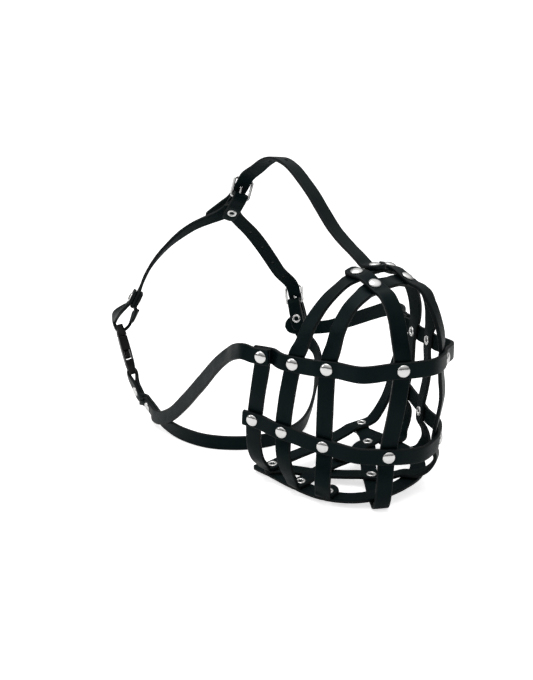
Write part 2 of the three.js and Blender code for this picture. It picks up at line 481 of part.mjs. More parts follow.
// slot for the tongue in a strap that runs through a buckle, and in the fold of a tab
// A buckle frame stands at an angle (degrees) from its strap; along and out are the directions from the hinge bar to
// the end bar and to the outer side of the frame.
const TILT_TOP = 62, TILT_SIDE = 25;
function stand(F, tilt) {
  const c = Math.cos((tilt * Math.PI) / 180), s = Math.sin((tilt * Math.PI) / 180);
  const at = (a, o, w = 0) => F.at(BAR_S - a * c + o * s, BAR_N + a * s + o * c, w);
  const along = new THREE.Vector3().addScaledVector(F.T, -c).addScaledVector(F.N, s);
  const out = new THREE.Vector3().addScaledVector(F.T, s).addScaledVector(F.N, c);
  const basis = (a, o) => new THREE.Matrix4().makeBasis(along, out, along.clone().cross(out)).setPosition(at(a, o));
  return { at, along, out, basis };
}
const PIN = [[0.2, 2.2], [BUCKLE_LEN + 1.7, WIRE_R + TONGUE_R + 0.2]];      // tongue axis, as [along, out]
// hole in a strap that the tongue passes through, and slot for tongue and eye in the fold of a tab
const tongueHole = (F, tilt) => (s) => {
  const g = stand(F, tilt), a = g.at(...PIN[0]), b = g.at(...PIN[1]);
  const p = b.clone().sub(a).normalize(), w = g.along.clone().cross(g.out), o = w.clone().cross(p);
  const m = new THREE.Matrix4().makeBasis(p, o, w).setPosition(a.lerp(b, 0.6).addScaledVector(o, 1));
  return cutBox(s, m, 14, 4.8, 3);
};
const foldSlot = (F, tilt) => (s) => cutBox(s, stand(F, tilt).basis(1.6, 0.75), 9.4, 7.7, 3.6);
const punch = (pts, s0) => {
  // adjustment hole through the strap at distance s0 from its start
  const f = course(pts).at(s0);
  return (s) => drill(s, f.p.toArray(), f.N.toArray(), 1.5, 8, 8);
};
strapNode("forehead_strap", foreheadPts, { start: "round", end: "round" }, [TC], [tongueHole(JB, TILT_TOP), punch(foreheadPts, 129.5), punch(foreheadPts, 153)]);
strapNode("cheek_strap_right", cheekRightPts, {}, [U1, RK]);
strapNode("cheek_strap_left", cheekLeftPts, { end: "round" }, [U1L, RS]);
strapNode("throat_strap", throatPts, {}, [RS, RK, RL]);
strapNode("neck_strap", neckPts, {}, [RJ, RU]);
strapNode("clip_loop", upperLoopPts, {}, [RU]);
strapNode("holed_neck_strap", holedPts, { start: "chamfer", end: "round" }, [RJ], [tongueHole(S, TILT_SIDE), ...[40.6, 64, 87.3, 110.7].map((d) => punch(holedPts, d))]);
strapNode("top_buckle_tab", tabPts(JB), { end: "round" }, [RJ], [foldSlot(JB, TILT_TOP)]);
strapNode("side_buckle_tab", tabPts(S), { end: "round" }, [RS], [foldSlot(S, TILT_SIDE)]);
const RIVETS = Object.fromEntries(rivets);
for (const [k, r] of rivets) add("rivet_" + k, rivetSolid(r), nickel());

// ---------- buckles ----------
// closed sweep of a round wire along a loop of points
function wireLoop(points, r, sides = 6) {
  const n = points.length, pos = [], tri = [];
  const normal = points[1].clone().sub(points[0]).cross(points[Math.floor(n / 2)].clone().sub(points[0])).normalize();
  for (let i = 0; i < n; i++) {
    const T = points[(i + 1) % n].clone().sub(points[(i - 1 + n) % n]).normalize();
    const side = T.clone().cross(normal).normalize();
    const stretch = 1 / Math.max(0.6, Math.cos(0.5 * points[(i + 1) % n].clone().sub(points[i]).angleTo(points[i].clone().sub(points[(i - 1 + n) % n]))));
    for (let k = 0; k < sides; k++) {
      const a = ((k + 0.5) / sides) * 2 * Math.PI;
      const q = points[i].clone().addScaledVector(side, r * stretch * Math.cos(a)).addScaledVector(normal, r * Math.sin(a));
      pos.push(q.x, q.y, q.z);
    }
  }
  for (let i = 0; i < n; i++)
    for (let k = 0; k < sides; k++) {
      const i2 = (i + 1) % n, k2 = (k + 1) % sides;
      tri.push(i * sides + k, i * sides + k2, i2 * sides + k2, i * sides + k, i2 * sides + k2, i2 * sides + k);
    }
  return rightWayOut(pos, tri);
}
// The tongue swings on the hinge bar and lies on the outer side of the end bar.
function buckle(F, tilt, frameName, tongueName) {
  const g = stand(F, tilt), h = BUCKLE_HALF, l = BUCKLE_LEN, c = 1.8, k = c * 0.3;
  const loop = [[0, -h + c], [0, h - c], [k, h - k], [c, h], [l - c, h], [l - k, h - k], [l, h - c], [l, -h + c], [l - k, -h + k], [l - c, -h], [c, -h], [k, -h + k]];
  add(frameName, wireLoop(loop.map(([a, w]) => g.at(a, 0, w)), WIRE_R), nickel());
  const eyeShape = new THREE.Shape().absarc(0, 0, WIRE_R + 1.35, 0, Math.PI * 2);
  eyeShape.holes.push(new THREE.Path().absarc(0, 0, WIRE_R + 0.3, 0, Math.PI * 2));
  const eye = new THREE.ExtrudeGeometry(eyeShape, { depth: 2.2, bevelEnabled: false, curveSegments: 10 });
  eye.translate(0, 0, -1.1);
  eye.applyMatrix4(g.basis(0, 0));
  const a = g.at(...PIN[0]), b = g.at(...PIN[1]), dir = b.clone().sub(a);
  const pin = new THREE.CylinderGeometry(TONGUE_R * 0.75, TONGUE_R, dir.length(), 8);
  pin.applyQuaternion(new THREE.Quaternion().setFromUnitVectors(V(0, 1, 0), dir.clone().normalize()));
  const mid = a.add(b).multiplyScalar(0.5);
  pin.translate(mid.x, mid.y, mid.z);
  add(tongueName, solid(eye).add(solid(pin)), nickel());
}
buckle(JB, TILT_TOP, "top_buckle_frame", "top_buckle_tongue");
buckle(S, TILT_SIDE, "side_buckle_frame", "side_buckle_tongue");

// ---------- plastic clip ----------
// blocks are given in the clip frame: s along the strap, n outwards, w across
function block(s0, s1, n0, n1, w0, w1) {
  const b = new THREE.BoxGeometry(s1 - s0, n1 - n0, w1 - w0);
  b.applyMatrix4(CL.basis((s0 + s1) / 2, (n0 + n1) / 2, (w0 + w1) / 2));
  return solid(b);
}
function plate(outline, n0, n1, bevel = 0.8) {
  const sh = new THREE.Shape(outline.map(([s, w]) => new THREE.Vector2(s, w)));
  const g = new THREE.ExtrudeGeometry(sh, { depth: n1 - n0 - 2 * bevel, bevelEnabled: true, bevelThickness: bevel, bevelSize: bevel, bevelOffset: -bevel, bevelSegments: 1, curveSegments: 4 });
  // the shape lies in (s, w); its depth is turned to -n
  const m = new THREE.Matrix4().makeBasis(V(1, 0, 0), V(0, 0, 1), V(0, -1, 0)).setPosition(V(0, n1 - bevel, 0));
  g.applyMatrix4(m);
  g.applyMatrix4(CL.basis(0, 0, 0));
  return solid(g);
}
const hw = CLIP_W / 2, ht = CLIP_T / 2;
const MOUTH = -12.5;
let female = plate([[MOUTH, -hw + 0.4], [2, -hw], [14, -hw + 0.3], [FB + 2.2, -hw + 2.2], [FB + 2.2, hw - 2.2], [14, hw - 0.3], [2, hw], [MOUTH, hw - 0.4]], -ht, ht);
female = female.subtract(block(MOUTH - 2, 10.5, -ht + 1.6, ht - 1.6, -hw + 1.9, hw - 1.9));
female = female.subtract(block(0.5, 9.5, -ht + 1.6, ht - 1.6, -hw - 2, hw + 2));
female = female.subtract(block(12.6, FB - 1.3, -ht - 2, ht + 2, -7.4, 7.4));
female = female.subtract(block(FB - 3, FB + 6, 1.5, ht + 2, -7.4, 7.4)).subtract(block(FB - 3, FB + 6, -ht - 2, -1.5, -7.4, 7.4));
add("female_clip", female, plastic());
let male = plate([[MB - 2.2, -hw + 2.4], [MB + 3, -hw + 0.6], [MOUTH - 0.4, -hw + 0.6], [MOUTH - 0.4, hw - 0.6], [MB + 3, hw - 0.6], [MB - 2.2, hw - 2.4]], -ht, ht);
male = male.subtract(block(MB + 1.3, -14.8, -ht - 2, ht + 2, -7.4, 7.4));
male = male.subtract(block(MB - 6, MB + 3, 1.5, ht + 2, -7.4, 7.4)).subtract(block(MB - 6, MB + 3, -ht - 2, -1.5, -7.4, 7.4));
male = male.add(block(MOUTH - 1.5, 6.5, -2.2, 2.2, -2, 2));
add("male_clip", male, plastic());
for (const [name, k] of [["clip_prong_right", 1], ["clip_prong_left", -1]]) {
  const out = [[MOUTH, 4.6], [8, 5.0], [8.6, 6.4], [7.8, 8.6], [2, 8.7], [1, 7.2], [MOUTH, 7.4]].map(([s, w]) => [s, k * w]);
  add(name, plate(k > 0 ? out : out.reverse(), -2.3, 2.3, 0.3), plastic());
}

root.position.set(-CENTRE_X, -CENTRE_Y, GROUND);
export default root;
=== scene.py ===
import math

import bmesh
import bpy
import numpy as np
from mathutils import Matrix, Vector


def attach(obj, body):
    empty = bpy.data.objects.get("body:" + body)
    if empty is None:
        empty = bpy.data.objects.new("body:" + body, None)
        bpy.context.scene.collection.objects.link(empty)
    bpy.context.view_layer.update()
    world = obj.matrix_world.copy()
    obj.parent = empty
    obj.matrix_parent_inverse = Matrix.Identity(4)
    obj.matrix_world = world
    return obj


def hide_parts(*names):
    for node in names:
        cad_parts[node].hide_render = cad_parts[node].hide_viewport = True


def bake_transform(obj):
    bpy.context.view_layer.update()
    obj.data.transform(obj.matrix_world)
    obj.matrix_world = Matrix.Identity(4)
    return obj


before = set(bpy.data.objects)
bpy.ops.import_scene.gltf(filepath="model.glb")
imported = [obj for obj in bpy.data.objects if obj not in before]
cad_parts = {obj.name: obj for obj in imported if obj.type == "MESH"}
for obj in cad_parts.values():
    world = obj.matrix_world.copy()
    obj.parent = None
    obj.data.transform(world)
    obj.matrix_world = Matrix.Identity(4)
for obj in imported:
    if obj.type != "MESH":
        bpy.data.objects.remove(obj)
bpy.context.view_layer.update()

# ------------------------------------------------------------------ dimensions, in mm
GROUND = 108.6           # upper rivet row above the ground
CENTRE = (-72.11, 9.03)  # middle of the whole footprint, where the origin is
HW = 6.0                 # half width of a strap
HT = 1.40                # half thickness of the leather
PLY = 3.1                # pitch of two straps laid on one another
LEATHER = 2.5            # thickness of the leather in the frame
CAP_R, CAP_H = 4.5, 1.75
RING_R, RING_H = 4.1, 0.95
BAR_S, BAR_N = -15.0, -5.9
WIRE_R, TONGUE_R = 1.15, 0.85
BUCKLE_LEN, BUCKLE_HALF = 16.0, 7.9
TILT = {"JB": 62.0, "S": 25.0}
FB, MB, MOUTH = 21.5, -21.5, -12.5
CLIP_HW, CLIP_HT = 11.0, 4.5

# Straps: control points (x, y, z, outer side x, y, z and, at a rivet, the half length that lies flat), in mm, z from the upper rivet row.
STRAPS = {
    "upper_band": [
        [-10.76, -74.08, 0.0, 0.421, -0.9071, 0.0],
        [-3.14, -70.54, 0.0, 0.421, -0.9071, 0.0, 7],
        [9.3, -68.6, -1.2, 0.4202, -0.9074, 0.0],
        [20.67, -64.77, -2.5, 0.4202, -0.9074, 0.0, 7],
        [45.07, -54.72, -2.3, 0.5, -0.866, 0.0, 7],
        [71.2, -46.2, -1.6, 0.6606, -0.7507, 0.0],
        [85.55, -21.92, 0.03, 0.841, -0.5406, -0.02, 7],
        [94.4, 0.0, 0.6, 1.0, 0.0, 0.0],
        [85.55, 21.92, 0.03, 0.841, 0.5406, -0.02, 7],
        [71.2, 46.2, -1.6, 0.6606, 0.7507, 0.0],
        [45.07, 54.72, -2.3, 0.5, 0.866, 0.0, 7],
        [20.67, 64.77, -2.5, 0.4202, 0.9074, 0.0, 7],
        [9.3, 68.6, -1.2, 0.4202, 0.9074, 0.0],
        [-3.14, 70.54, 0.0, 0.421, 0.9071, 0.0, 7],
        [-10.76, 74.08, 0.0, 0.421, 0.9071, 0.0],
    ],
    "lower_band": [
        [-18.13, -79.87, -50.09, 0.4017, -0.9138, -0.0603],
        [-10.5, -76.46, -50.92, 0.4017, -0.9138, -0.0603, 7],
        [12.45, -67.78, -55.5, 0.4417, -0.8935, -0.0803, 7],
        [41.37, -53.92, -61.22, 0.5017, -0.8629, -0.0602, 7],
        [64.6, -43.4, -63.6, 0.6433, -0.7639, -0.0503],
        [79.25, -26.52, -64.34, 0.8401, -0.5401, -0.05, 7],
        [88.0, 0.0, -66.2, 1.0, 0.0, -0.08],
        [79.25, 26.52, -64.34, 0.8401, 0.5401, -0.05, 7],
        [64.6, 43.4, -63.6, 0.6433, 0.7639, -0.0503],
        [41.37, 53.92, -61.22, 0.5017, 0.8629, -0.0602, 7],
        [12.45, 67.78, -55.5, 0.4417, 0.8935, -0.0803, 7],
        [-10.5, 76.46, -50.92, 0.4017, 0.9138, -0.0603, 7],
        [-18.13, 79.87, -50.09, 0.4017, 0.9138, -0.0603],
    ],
    "rear_loop": [
        [-1.74, -73.31, 5.6, 0.421, -0.9071, 0.0],
        [-1.83, -73.35, 0.0, 0.421, -0.9071, 0.0, 7],
        [-5.5, -74.8, -26.0, 0.4209, -0.9069, -0.02],
        [-11.75, -73.62, -50.74, 0.4017, -0.9138, -0.0603, 7],
        [-16.2, -70.6, -75.0, 0.3587, -0.8968, -0.2591],
        [-18.3, -65.6, -88.0, 0.2408, -0.8427, -0.4815],
        [-19.0, -59.2, -95.6, 0.1, -0.5001, -0.8602],
        [-19.0, -50.56, -98.07, 0.0, 0.0748, -0.9972, 7],
        [-20.5, -26.0, -97.0, 0.0, 0.05, -1.0],
        [-21.0, 0.0, -96.0, 0.0, 0.05, -1.0],
        [-21.5, 27.0, -92.6, 0.0, 0.08, -1.0],
        [-21.9, 38.0, -90.4, 0.0, 0.08, -1.0],
        [-22.0, 49.44, -90.57, 0.0, 0.0748, -0.9972, 7],
        [-19.0, 59.2, -87.6, 0.1, 0.5001, -0.8602],
        [-18.3, 65.6, -81.6, 0.2408, 0.8427, -0.4815],
        [-16.2, 70.6, -71.8, 0.3587, 0.8968, -0.2591],
        [-11.75, 73.62, -50.74, 0.4017, 0.9138, -0.0603, 7],
        [-5.5, 74.8, -26.0, 0.4209, 0.9069, -0.02],
        [-1.83, 73.35, 0.0, 0.421, 0.9071, 0.0, 7],
        [-1.74, 73.31, 5.6, 0.421, 0.9071, 0.0],
    ],
    "middle_loop": [
        [8.0, 9.5, -98.85, 0.0, 0.0, -1.0],
        [8.0, 0.0, -98.85, 0.0, 0.0, -1.0, 7],
        [8.0, -13.0, -99.0, 0.0, 0.0, -1.0],
        [9.5, -28.5, -99.4, 0.0, 0.0, -1.0],
        [11.5, -37.5, -99.3, 0.0, 0.0, -1.0],
        [13.0, -49.83, -101.12, 0.0, 0.0748, -0.9972, 7],
        [13.2, -59.4, -95.5, 0.0599, -0.5989, -0.7986],
        [13.2, -63.8, -86.0, 0.1604, -0.902, -0.4009],
        [12.6, -66.6, -73.0, 0.3211, -0.9333, -0.1606],
        [11.08, -65.01, -55.25, 0.4417, -0.8935, -0.0803, 7],
        [15.2, -65.2, -28.0, 0.4201, -0.9072, -0.02],
        [19.37, -61.95, -2.5, 0.4202, -0.9074, 0.0, 7],
        [23.6, -59.2, 10.5, 0.1611, -0.9768, 0.141],
        [26.6, -54.2, 25.5, 0.0503, -0.905, 0.4224],
        [30.2, -42.6, 41.5, -0.0501, -0.7012, 0.7112],
        [32.5, -28.5, 51.6, -0.0802, -0.501, 0.8617],
        [33.38, -16.14, 55.39, 0.1198, -0.2196, 0.9682, 7],
        [35.04, 0.0, 57.67, -0.1005, 0.0, 0.9949, 7],
        [33.38, 16.14, 55.39, 0.1198, 0.2196, 0.9682, 7],
        [32.5, 28.5, 51.6, -0.0802, 0.501, 0.8617],
        [30.2, 42.6, 41.5, -0.0501, 0.7012, 0.7112],
        [26.6, 54.2, 25.5, 0.0503, 0.905, 0.4224],
        [23.6, 59.2, 10.5, 0.1611, 0.9768, 0.141],
        [19.37, 61.95, -2.5, 0.4202, 0.9074, 0.0, 7],
        [15.2, 65.2, -28.0, 0.4201, 0.9072, -0.02],
        [11.08, 65.01, -55.25, 0.4417, 0.8935, -0.0803, 7],
        [12.6, 66.6, -70.2, 0.3211, 0.9333, -0.1606],
        [13.2, 63.8, -80.4, 0.1604, 0.902, -0.4009],
        [13.2, 59.4, -88.5, 0.0599, 0.5989, -0.7986],
        [13.0, 49.17, -93.7, 0.0, 0.0748, -0.9972, 7],
        [7.4, 40.4, -91.8, 0.0, 0.1, -1.0],
        [4.5, 30.07, -93.57, 0.0, 0.0995, -0.995, 7],
        [8.0, 13.0, -96.0, 0.0, 0.05, -1.0],
        [8.0, 0.0, -95.75, 0.0, 0.0, -1.0, 7],
        [8.0, -9.5, -95.75, 0.0, 0.0, -1.0],
    ],
    "front_loop": [
        [38.0, -36.2, -100.12, 0.0, 0.0748, -0.9972],
        [39.0, -45.63, -100.81, 0.0, 0.0748, -0.9972, 7],
        [41.5, -53.4, -97.5, 0.1398, -0.6591, -0.739],
        [43.2, -55.6, -89.0, 0.3548, -0.887, -0.2957],
        [42.6, -54.2, -78.0, 0.4609, -0.8818, -0.1002],
        [39.82, -51.25, -61.04, 0.5017, -0.8629, -0.0602, 7],
        [42.9, -53.6, -30.0, 0.4999, -0.8658, -0.02],
        [43.52, -52.03, -2.3, 0.5, -0.866, 0.0, 7],
        [46.4, -50.4, 12.0, 0.2196, -0.9682, 0.1198],
        [48.4, -47.3, 26.0, 0.1199, -0.9089, 0.3995],
        [50.0, -39.0, 39.5, 0.0605, -0.7058, 0.7058],
        [50.8, -27.5, 47.2, 0.2001, -0.4501, 0.8703],
        [49.76, -15.73, 50.15, 0.4219, -0.2009, 0.8841, 7],
        [51.4, 0.0, 52.4, 0.2, 0.0, 0.98],
        [49.76, 15.73, 50.15, 0.4219, 0.2009, 0.8841, 7],
        [50.8, 27.5, 47.2, 0.2001, 0.4501, 0.8703],
        [50.0, 39.0, 39.5, 0.0605, 0.7058, 0.7058],
        [48.4, 47.3, 26.0, 0.1199, 0.9089, 0.3995],
        [46.4, 50.4, 12.0, 0.2196, 0.9682, 0.1198],
        [43.52, 52.03, -2.3, 0.5, 0.866, 0.0, 7],
        [42.9, 53.6, -30.0, 0.4999, 0.8658, -0.02],
        [39.82, 51.25, -61.04, 0.5017, 0.8629, -0.0602, 7],
        [42.6, 54.2, -75.96, 0.4609, 0.8818, -0.1002],
        [43.2, 55.6, -84.24, 0.3548, 0.887, -0.2957],
        [41.5, 53.4, -90.7, 0.1398, 0.6591, -0.739],
        [39.0, 44.97, -94.01, 0.0, 0.0748, -0.9972, 7],
        [38.0, 36.2, -94.69, 0.0, 0.0748, -0.9972],
    ],
    "front_strap_right": [
        [25.83, -17.64, 59.19, 0.1198, -0.2196, 0.9682],
        [33.75, -16.83, 58.39, 0.1198, -0.2196, 0.9682, 7],
        [51.07, -16.35, 52.89, 0.4219, -0.2009, 0.8841, 7],
        [64.6, -17.9, 47.6, 0.6593, -0.2497, 0.7092],
        [74.0, -19.2, 36.0, 0.8408, -0.3003, 0.4504],
        [81.2, -20.9, 17.0, 0.8989, -0.3995, 0.1798],
        [82.94, -20.25, 0.09, 0.841, -0.5406, -0.02, 7],
        [82.5, -24.0, -30.0, 0.8638, -0.5022, -0.0402],
        [76.65, -24.85, -64.18, 0.8401, -0.5401, -0.05, 7],
        [77.4, -27.6, -84.0, 0.8575, -0.5044, -0.1009],
        [76.2, -27.6, -98.5, 0.8465, -0.4635, -0.262],
        [72.4, -25.6, -105.8, 0.501, -0.3006, -0.8116],
        [66.0, -20.8, -107.3, 0.0, 0.0, -1.0],
        [54.0, -12.2, -107.3, 0.0, 0.0, -1.0],
        [38.0, 0.0, -104.6, 0.0, 0.0, -1.0, 7],
        [22.0, 13.0, -101.8, 0.0, 0.0, -1.0],
        [4.5, 30.38, -96.66, 0.0, 0.0995, -0.995, 7],
        [-7.6, 40.4, -94.35, 0.0, 0.1, -1.0],
        [-22.0, 49.67, -93.66, 0.0, 0.0748, -0.9972, 7],
        [-27.0, 55.0, -93.28, 0.0, 0.0748, -0.9972],
    ],
    "front_strap_left": [
        [25.83, 17.64, 59.19, 0.1198, 0.2196, 0.9682],
        [33.75, 16.83, 58.39, 0.1198, 0.2196, 0.9682, 7],
        [51.07, 16.35, 52.89, 0.4219, 0.2009, 0.8841, 7],
        [64.6, 17.9, 47.6, 0.6593, 0.2497, 0.7092],
        [74.0, 19.2, 36.0, 0.8408, 0.3003, 0.4504],
        [81.2, 20.9, 17.0, 0.8989, 0.3995, 0.1798],
        [82.94, 20.25, 0.09, 0.841, 0.5406, -0.02, 7],
        [82.5, 24.0, -30.0, 0.8638, 0.5022, -0.0402],
        [76.65, 24.85, -64.18, 0.8401, 0.5401, -0.05, 7],
        [78.0, 26.8, -79.0, 0.8419, 0.5011, -0.2004],
        [73.6, 23.6, -90.0, 0.7357, 0.4375, -0.517],
        [65.5, 18.4, -95.4, 0.3094, 0.2063, -0.9283],
        [57.5, 13.0, -96.2, 0.0995, 0.0, -0.995],
        [49.5, 7.6, -100.0, 0.0995, 0.0, -0.995],
        [38.0, 0.0, -101.5, 0.0, 0.0, -1.0, 7],
        [22.0, -13.0, -102.4, 0.0, 0.0, -1.0],
        [4.5, -28.5, -102.7, 0.0, 0.0, -1.0],
        [-8.0, -40.5, -100.9, 0.0, 0.03, -1.0],
        [-19.0, -50.33, -101.16, 0.0, 0.0748, -0.9972, 7],
        [-24.0, -54.6, -101.5, 0.0, 0.0748, -0.9972],
    ],
    "bottom_rim": [
        [-38.0, -50.6, -104.3, 0.0, 0.0748, -0.9972],
        [-20.0, -50.0, -104.25, 0.0, 0.0748, -0.9972],
        [8.0, -49.8, -104.23, 0.0, 0.0748, -0.9972],
        [32.0, -47.0, -104.03, 0.0, 0.0748, -0.9972],
        [50.0, -38.5, -103.39, 0.0, 0.0748, -0.9972],
        [61.0, -24.0, -102.3, 0.0, 0.0748, -0.9972],
        [65.2, 0.0, -100.5, 0.0, 0.0748, -0.9972],
        [61.0, 24.0, -98.7, 0.0, 0.0748, -0.9972],
        [50.0, 38.5, -97.61, 0.0, 0.0748, -0.9972],
        [32.0, 47.0, -96.97, 0.0, 0.0748, -0.9972],
        [8.0, 49.8, -96.77, 0.0, 0.0748, -0.9972],
        [-20.0, 50.0, -96.75, 0.0, 0.0748, -0.9972],
        [-38.0, 50.6, -96.7, 0.0, 0.0748, -0.9972],
    ],
    "forehead_strap": [
        [43.5, 0.0, 61.9, -0.1005, 0.0, 0.9949],
        [34.73, 0.0, 60.76, -0.1005, 0.0, 0.9949, 7],
        [19.5, 0.0, 65.2, 0.4512, 0.0, 0.8924],
        [6.6, 0.0, 72.7, 0.5593, 0.0, 0.829],
        [-6.6, 0.0, 81.8, 0.6283, 0.0, 0.7779],
        [-18.6, 0.0, 93.2, 0.7021, 0.0, 0.7121],
        [-30.5, 0.0, 105.3, 0.6816, 0.0, 0.7317],
        [-42.6, 0.0, 115.5, 0.6, 0.0, 0.8],
        [-55.0, 0.0, 124.2, 0.4512, 0.0, 0.8924],
        [-67.0, 0.5, 128.3, 0.2, 0.0, 0.9798],
        [-81.0, 2.5, 128.2, -0.0801, 0.1002, 0.9917],
        [-93.0, 4.4, 124.6, -0.3002, 0.2501, 0.9205],
        [-105.0, 5.6, 118.4, -0.4493, 0.3794, 0.8088],
        [-121.32, 7.57, 110.26, -0.5316, 0.5262, 0.6637],
        [-125.59, 7.52, 105.23, -0.5316, 0.5262, 0.6637],
        [-130.65, 7.6, 99.61, -0.5316, 0.5262, 0.6637],
        [-136.4, 8.03, 94.05, -0.5316, 0.5262, 0.6637],
        [-141.73, 8.7, 89.55, -0.5316, 0.5262, 0.6637],
        [-151.59, 6.56, 83.06, -0.5316, 0.5262, 0.6637],
        [-170.37, 2.33, 70.46, -0.5316, 0.5262, 0.6637],
    ],
    "holed_neck_strap": [
        [-133.48, -1.25, 86.8, -0.5316, 0.5262, 0.6637],
        [-135.64, 2.68, 81.96, -0.5316, 0.5262, 0.6637],
        [-138.58, 8.04, 75.35, -0.5316, 0.5262, 0.6637],
        [-142.0, 27.3, 59.0, -0.6217, 0.5014, 0.6017],
        [-145.6, 42.0, 44.8, -0.7276, 0.4851, 0.4851],
        [-149.5, 56.0, 30.0, -0.7456, 0.5592, 0.3624],
        [-153.3, 69.5, 15.4, -0.6815, 0.7021, 0.2065],
        [-155.42, 87.42, -0.93, -0.5279, 0.8361, -0.1491],
        [-153.35, 88.61, -9.69, -0.5279, 0.8361, -0.1491],
        [-152.3, 90.42, -16.66, -0.5279, 0.8361, -0.1491],
        [-151.4, 92.48, -23.68, -0.5279, 0.8361, -0.1491],
        [-149.26, 93.06, -31.38, -0.5279, 0.8361, -0.1491],
        [-144.83, 93.01, -44.67, -0.5279, 0.8361, -0.1491],
    ],
    "neck_strap": [
        [-131.81, 5.43, 87.51, -0.5316, 0.5262, 0.6637],
        [-137.29, 4.31, 84.01, -0.5316, 0.5262, 0.6637],
        [-147.25, 2.27, 77.65, -0.5316, 0.5262, 0.6637],
        [-164.4, -21.0, 65.2, -0.6388, 0.103, 0.7624],
        [-181.6, -37.0, 46.5, -0.6231, -0.3618, 0.6934],
        [-196.2, -46.0, 26.0, -0.5223, -0.6227, 0.5826],
        [-206.35, -49.78, 6.53, -0.4457, -0.7574, 0.4771],
        [-208.66, -53.41, -1.38, -0.4457, -0.7574, 0.4771],
        [-210.59, -56.42, -7.97, -0.4457, -0.7574, 0.4771],
    ],
    "clip_loop": [
        [-208.12, -52.73, 6.69, -0.4457, -0.7574, 0.4771],
        [-210.04, -55.75, 0.1, -0.4457, -0.7574, 0.4771],
        [-211.45, -57.97, -4.73, -0.4457, -0.7574, 0.4771],
        [-213.95, -62.01, -8.98, -0.3943, -0.6769, 0.6529],
        [-234.09, -61.86, -24.39, -0.429, -0.9034, -0.099],
        [-231.71, -61.93, -30.45, -0.3333, -0.8959, -0.3299],
        [-229.68, -60.73, -34.01, 0.0719, -0.5162, -0.8535],
        [-228.01, -57.99, -34.64, 0.3829, 0.0301, -0.9233],
        [-226.67, -54.41, -33.32, 0.5007, 0.3611, -0.7878],
        [-225.91, -50.17, -29.72, 0.5455, 0.6603, -0.5104],
        [-226.49, -46.91, -24.01, 0.524, 0.8239, -0.2432],
        [-208.69, -53.05, -15.19, 0.42, 0.7172, -0.565],
        [-208.69, -53.27, -7.69, 0.4457, 0.7574, -0.4771],
        [-207.28, -51.06, -2.85, 0.4457, 0.7574, -0.4771],
        [-205.23, -47.84, 4.17, 0.4457, 0.7574, -0.4771],
    ],
    "throat_strap": [
        [-145.52, 83.42, -22.54, -0.5279, 0.8361, -0.1491],
        [-143.27, 83.57, -29.69, -0.5279, 0.8361, -0.1491],
        [-139.65, 83.81, -41.13, -0.5279, 0.8361, -0.1491],
        [-118.5, 86.0, -58.0, 0.101, 0.9897, 0.101],
        [-104.0, 72.0, -82.0, 0.5517, 0.8325, -0.0502],
        [-88.0, 50.0, -98.5, 0.755, 0.6241, -0.2013],
        [-72.0, 24.0, -102.2, 0.9495, 0.3096, -0.0516],
        [-66.0, -4.0, -102.4, 0.995, -0.0995, 0.0],
        [-74.0, -32.0, -102.4, 0.7413, -0.6712, 0.0],
        [-96.0, -54.5, -102.3, 0.4512, -0.8924, 0.0],
        [-124.0, -63.0, -102.0, 0.1005, -0.9949, 0.0],
        [-152.0, -62.4, -100.8, -0.0504, -0.9983, -0.0303],
        [-169.0, -59.2, -98.6, -0.1214, -0.9913, -0.0506],
        [-183.74, -56.22, -94.48, -0.174, -0.9616, -0.2121, 7],
        [-199.17, -59.39, -90.35, -0.1629, -0.9679, -0.1916],
        [-202.9, -59.69, -85.66, -0.1629, -0.9679, -0.1916],
        [-206.65, -60.14, -81.0, -0.1629, -0.9679, -0.1916],
        [-214.14, -60.64, -72.94, -0.3907, -0.9004, -0.1914],
        [-215.28, -59.77, -68.95, -0.5416, -0.6513, 0.5123],
        [-214.68, -57.46, -67.43, -0.3829, -0.0301, 0.9233],
        [-213.25, -55.09, -67.95, 0.0054, 0.6092, 0.7803],
        [-211.25, -53.98, -71.53, 0.3907, 0.9004, 0.1914],
        [-206.08, -56.75, -80.33, 0.1629, 0.9679, 0.1916],
        [-202.39, -56.69, -85.07, 0.1629, 0.9679, 0.1916],
        [-198.35, -56.36, -90.15, 0.1629, 0.9679, 0.1916],
    ],
    "cheek_strap_right": [
        [4.92, -73.64, 0.0, 0.421, -0.9071, 0.0],
        [-0.53, -76.17, 0.0, 0.421, -0.9071, 0.0, 7],
        [-12.5, -82.2, 2.4, 0.2808, -0.9426, 0.1805],
        [-26.0, -80.6, -1.4, 0.0, -0.9292, 0.3697],
        [-38.5, -77.6, -7.8, -0.1209, -0.9071, 0.4032],
        [-57.0, -75.0, -21.2, -0.2009, -0.9544, 0.221],
        [-82.0, -72.0, -43.0, -0.1202, -0.9915, 0.0501],
        [-111.0, -69.0, -68.0, 0.0201, -0.9947, 0.1005],
        [-134.0, -67.4, -86.0, 0.1, -0.9703, 0.2201],
        [-155.0, -65.6, -96.2, 0.0202, -0.9792, 0.2019],
        [-170.0, -62.8, -98.6, -0.101, -0.9897, 0.101],
        [-184.28, -59.2, -95.13, -0.174, -0.9616, -0.2121, 7],
        [-193.62, -62.81, -93.01, 0.1279, -0.9184, -0.6559],
    ],
    "cheek_strap_left": [
        [4.92, 73.64, 0.0, 0.421, 0.9071, 0.0],
        [-0.53, 76.17, 0.0, 0.421, 0.9071, 0.0, 7],
        [-12.0, 85.2, 2.6, 0.4208, 0.9016, 0.1002],
        [-34.0, 92.4, 0.0, 0.2507, 0.9628, 0.1003],
        [-62.0, 98.4, -11.0, 0.1004, 0.9937, 0.0502],
        [-95.6, 101.0, -26.0, -0.1203, 0.9927, 0.0],
        [-122.4, 97.8, -36.4, -0.3011, 0.9536, 0.0],
        [-150.49, 81.09, -38.84, -0.5279, 0.8361, -0.1491],
        [-144.9, 86.16, -30.15, -0.5279, 0.8361, -0.1491],
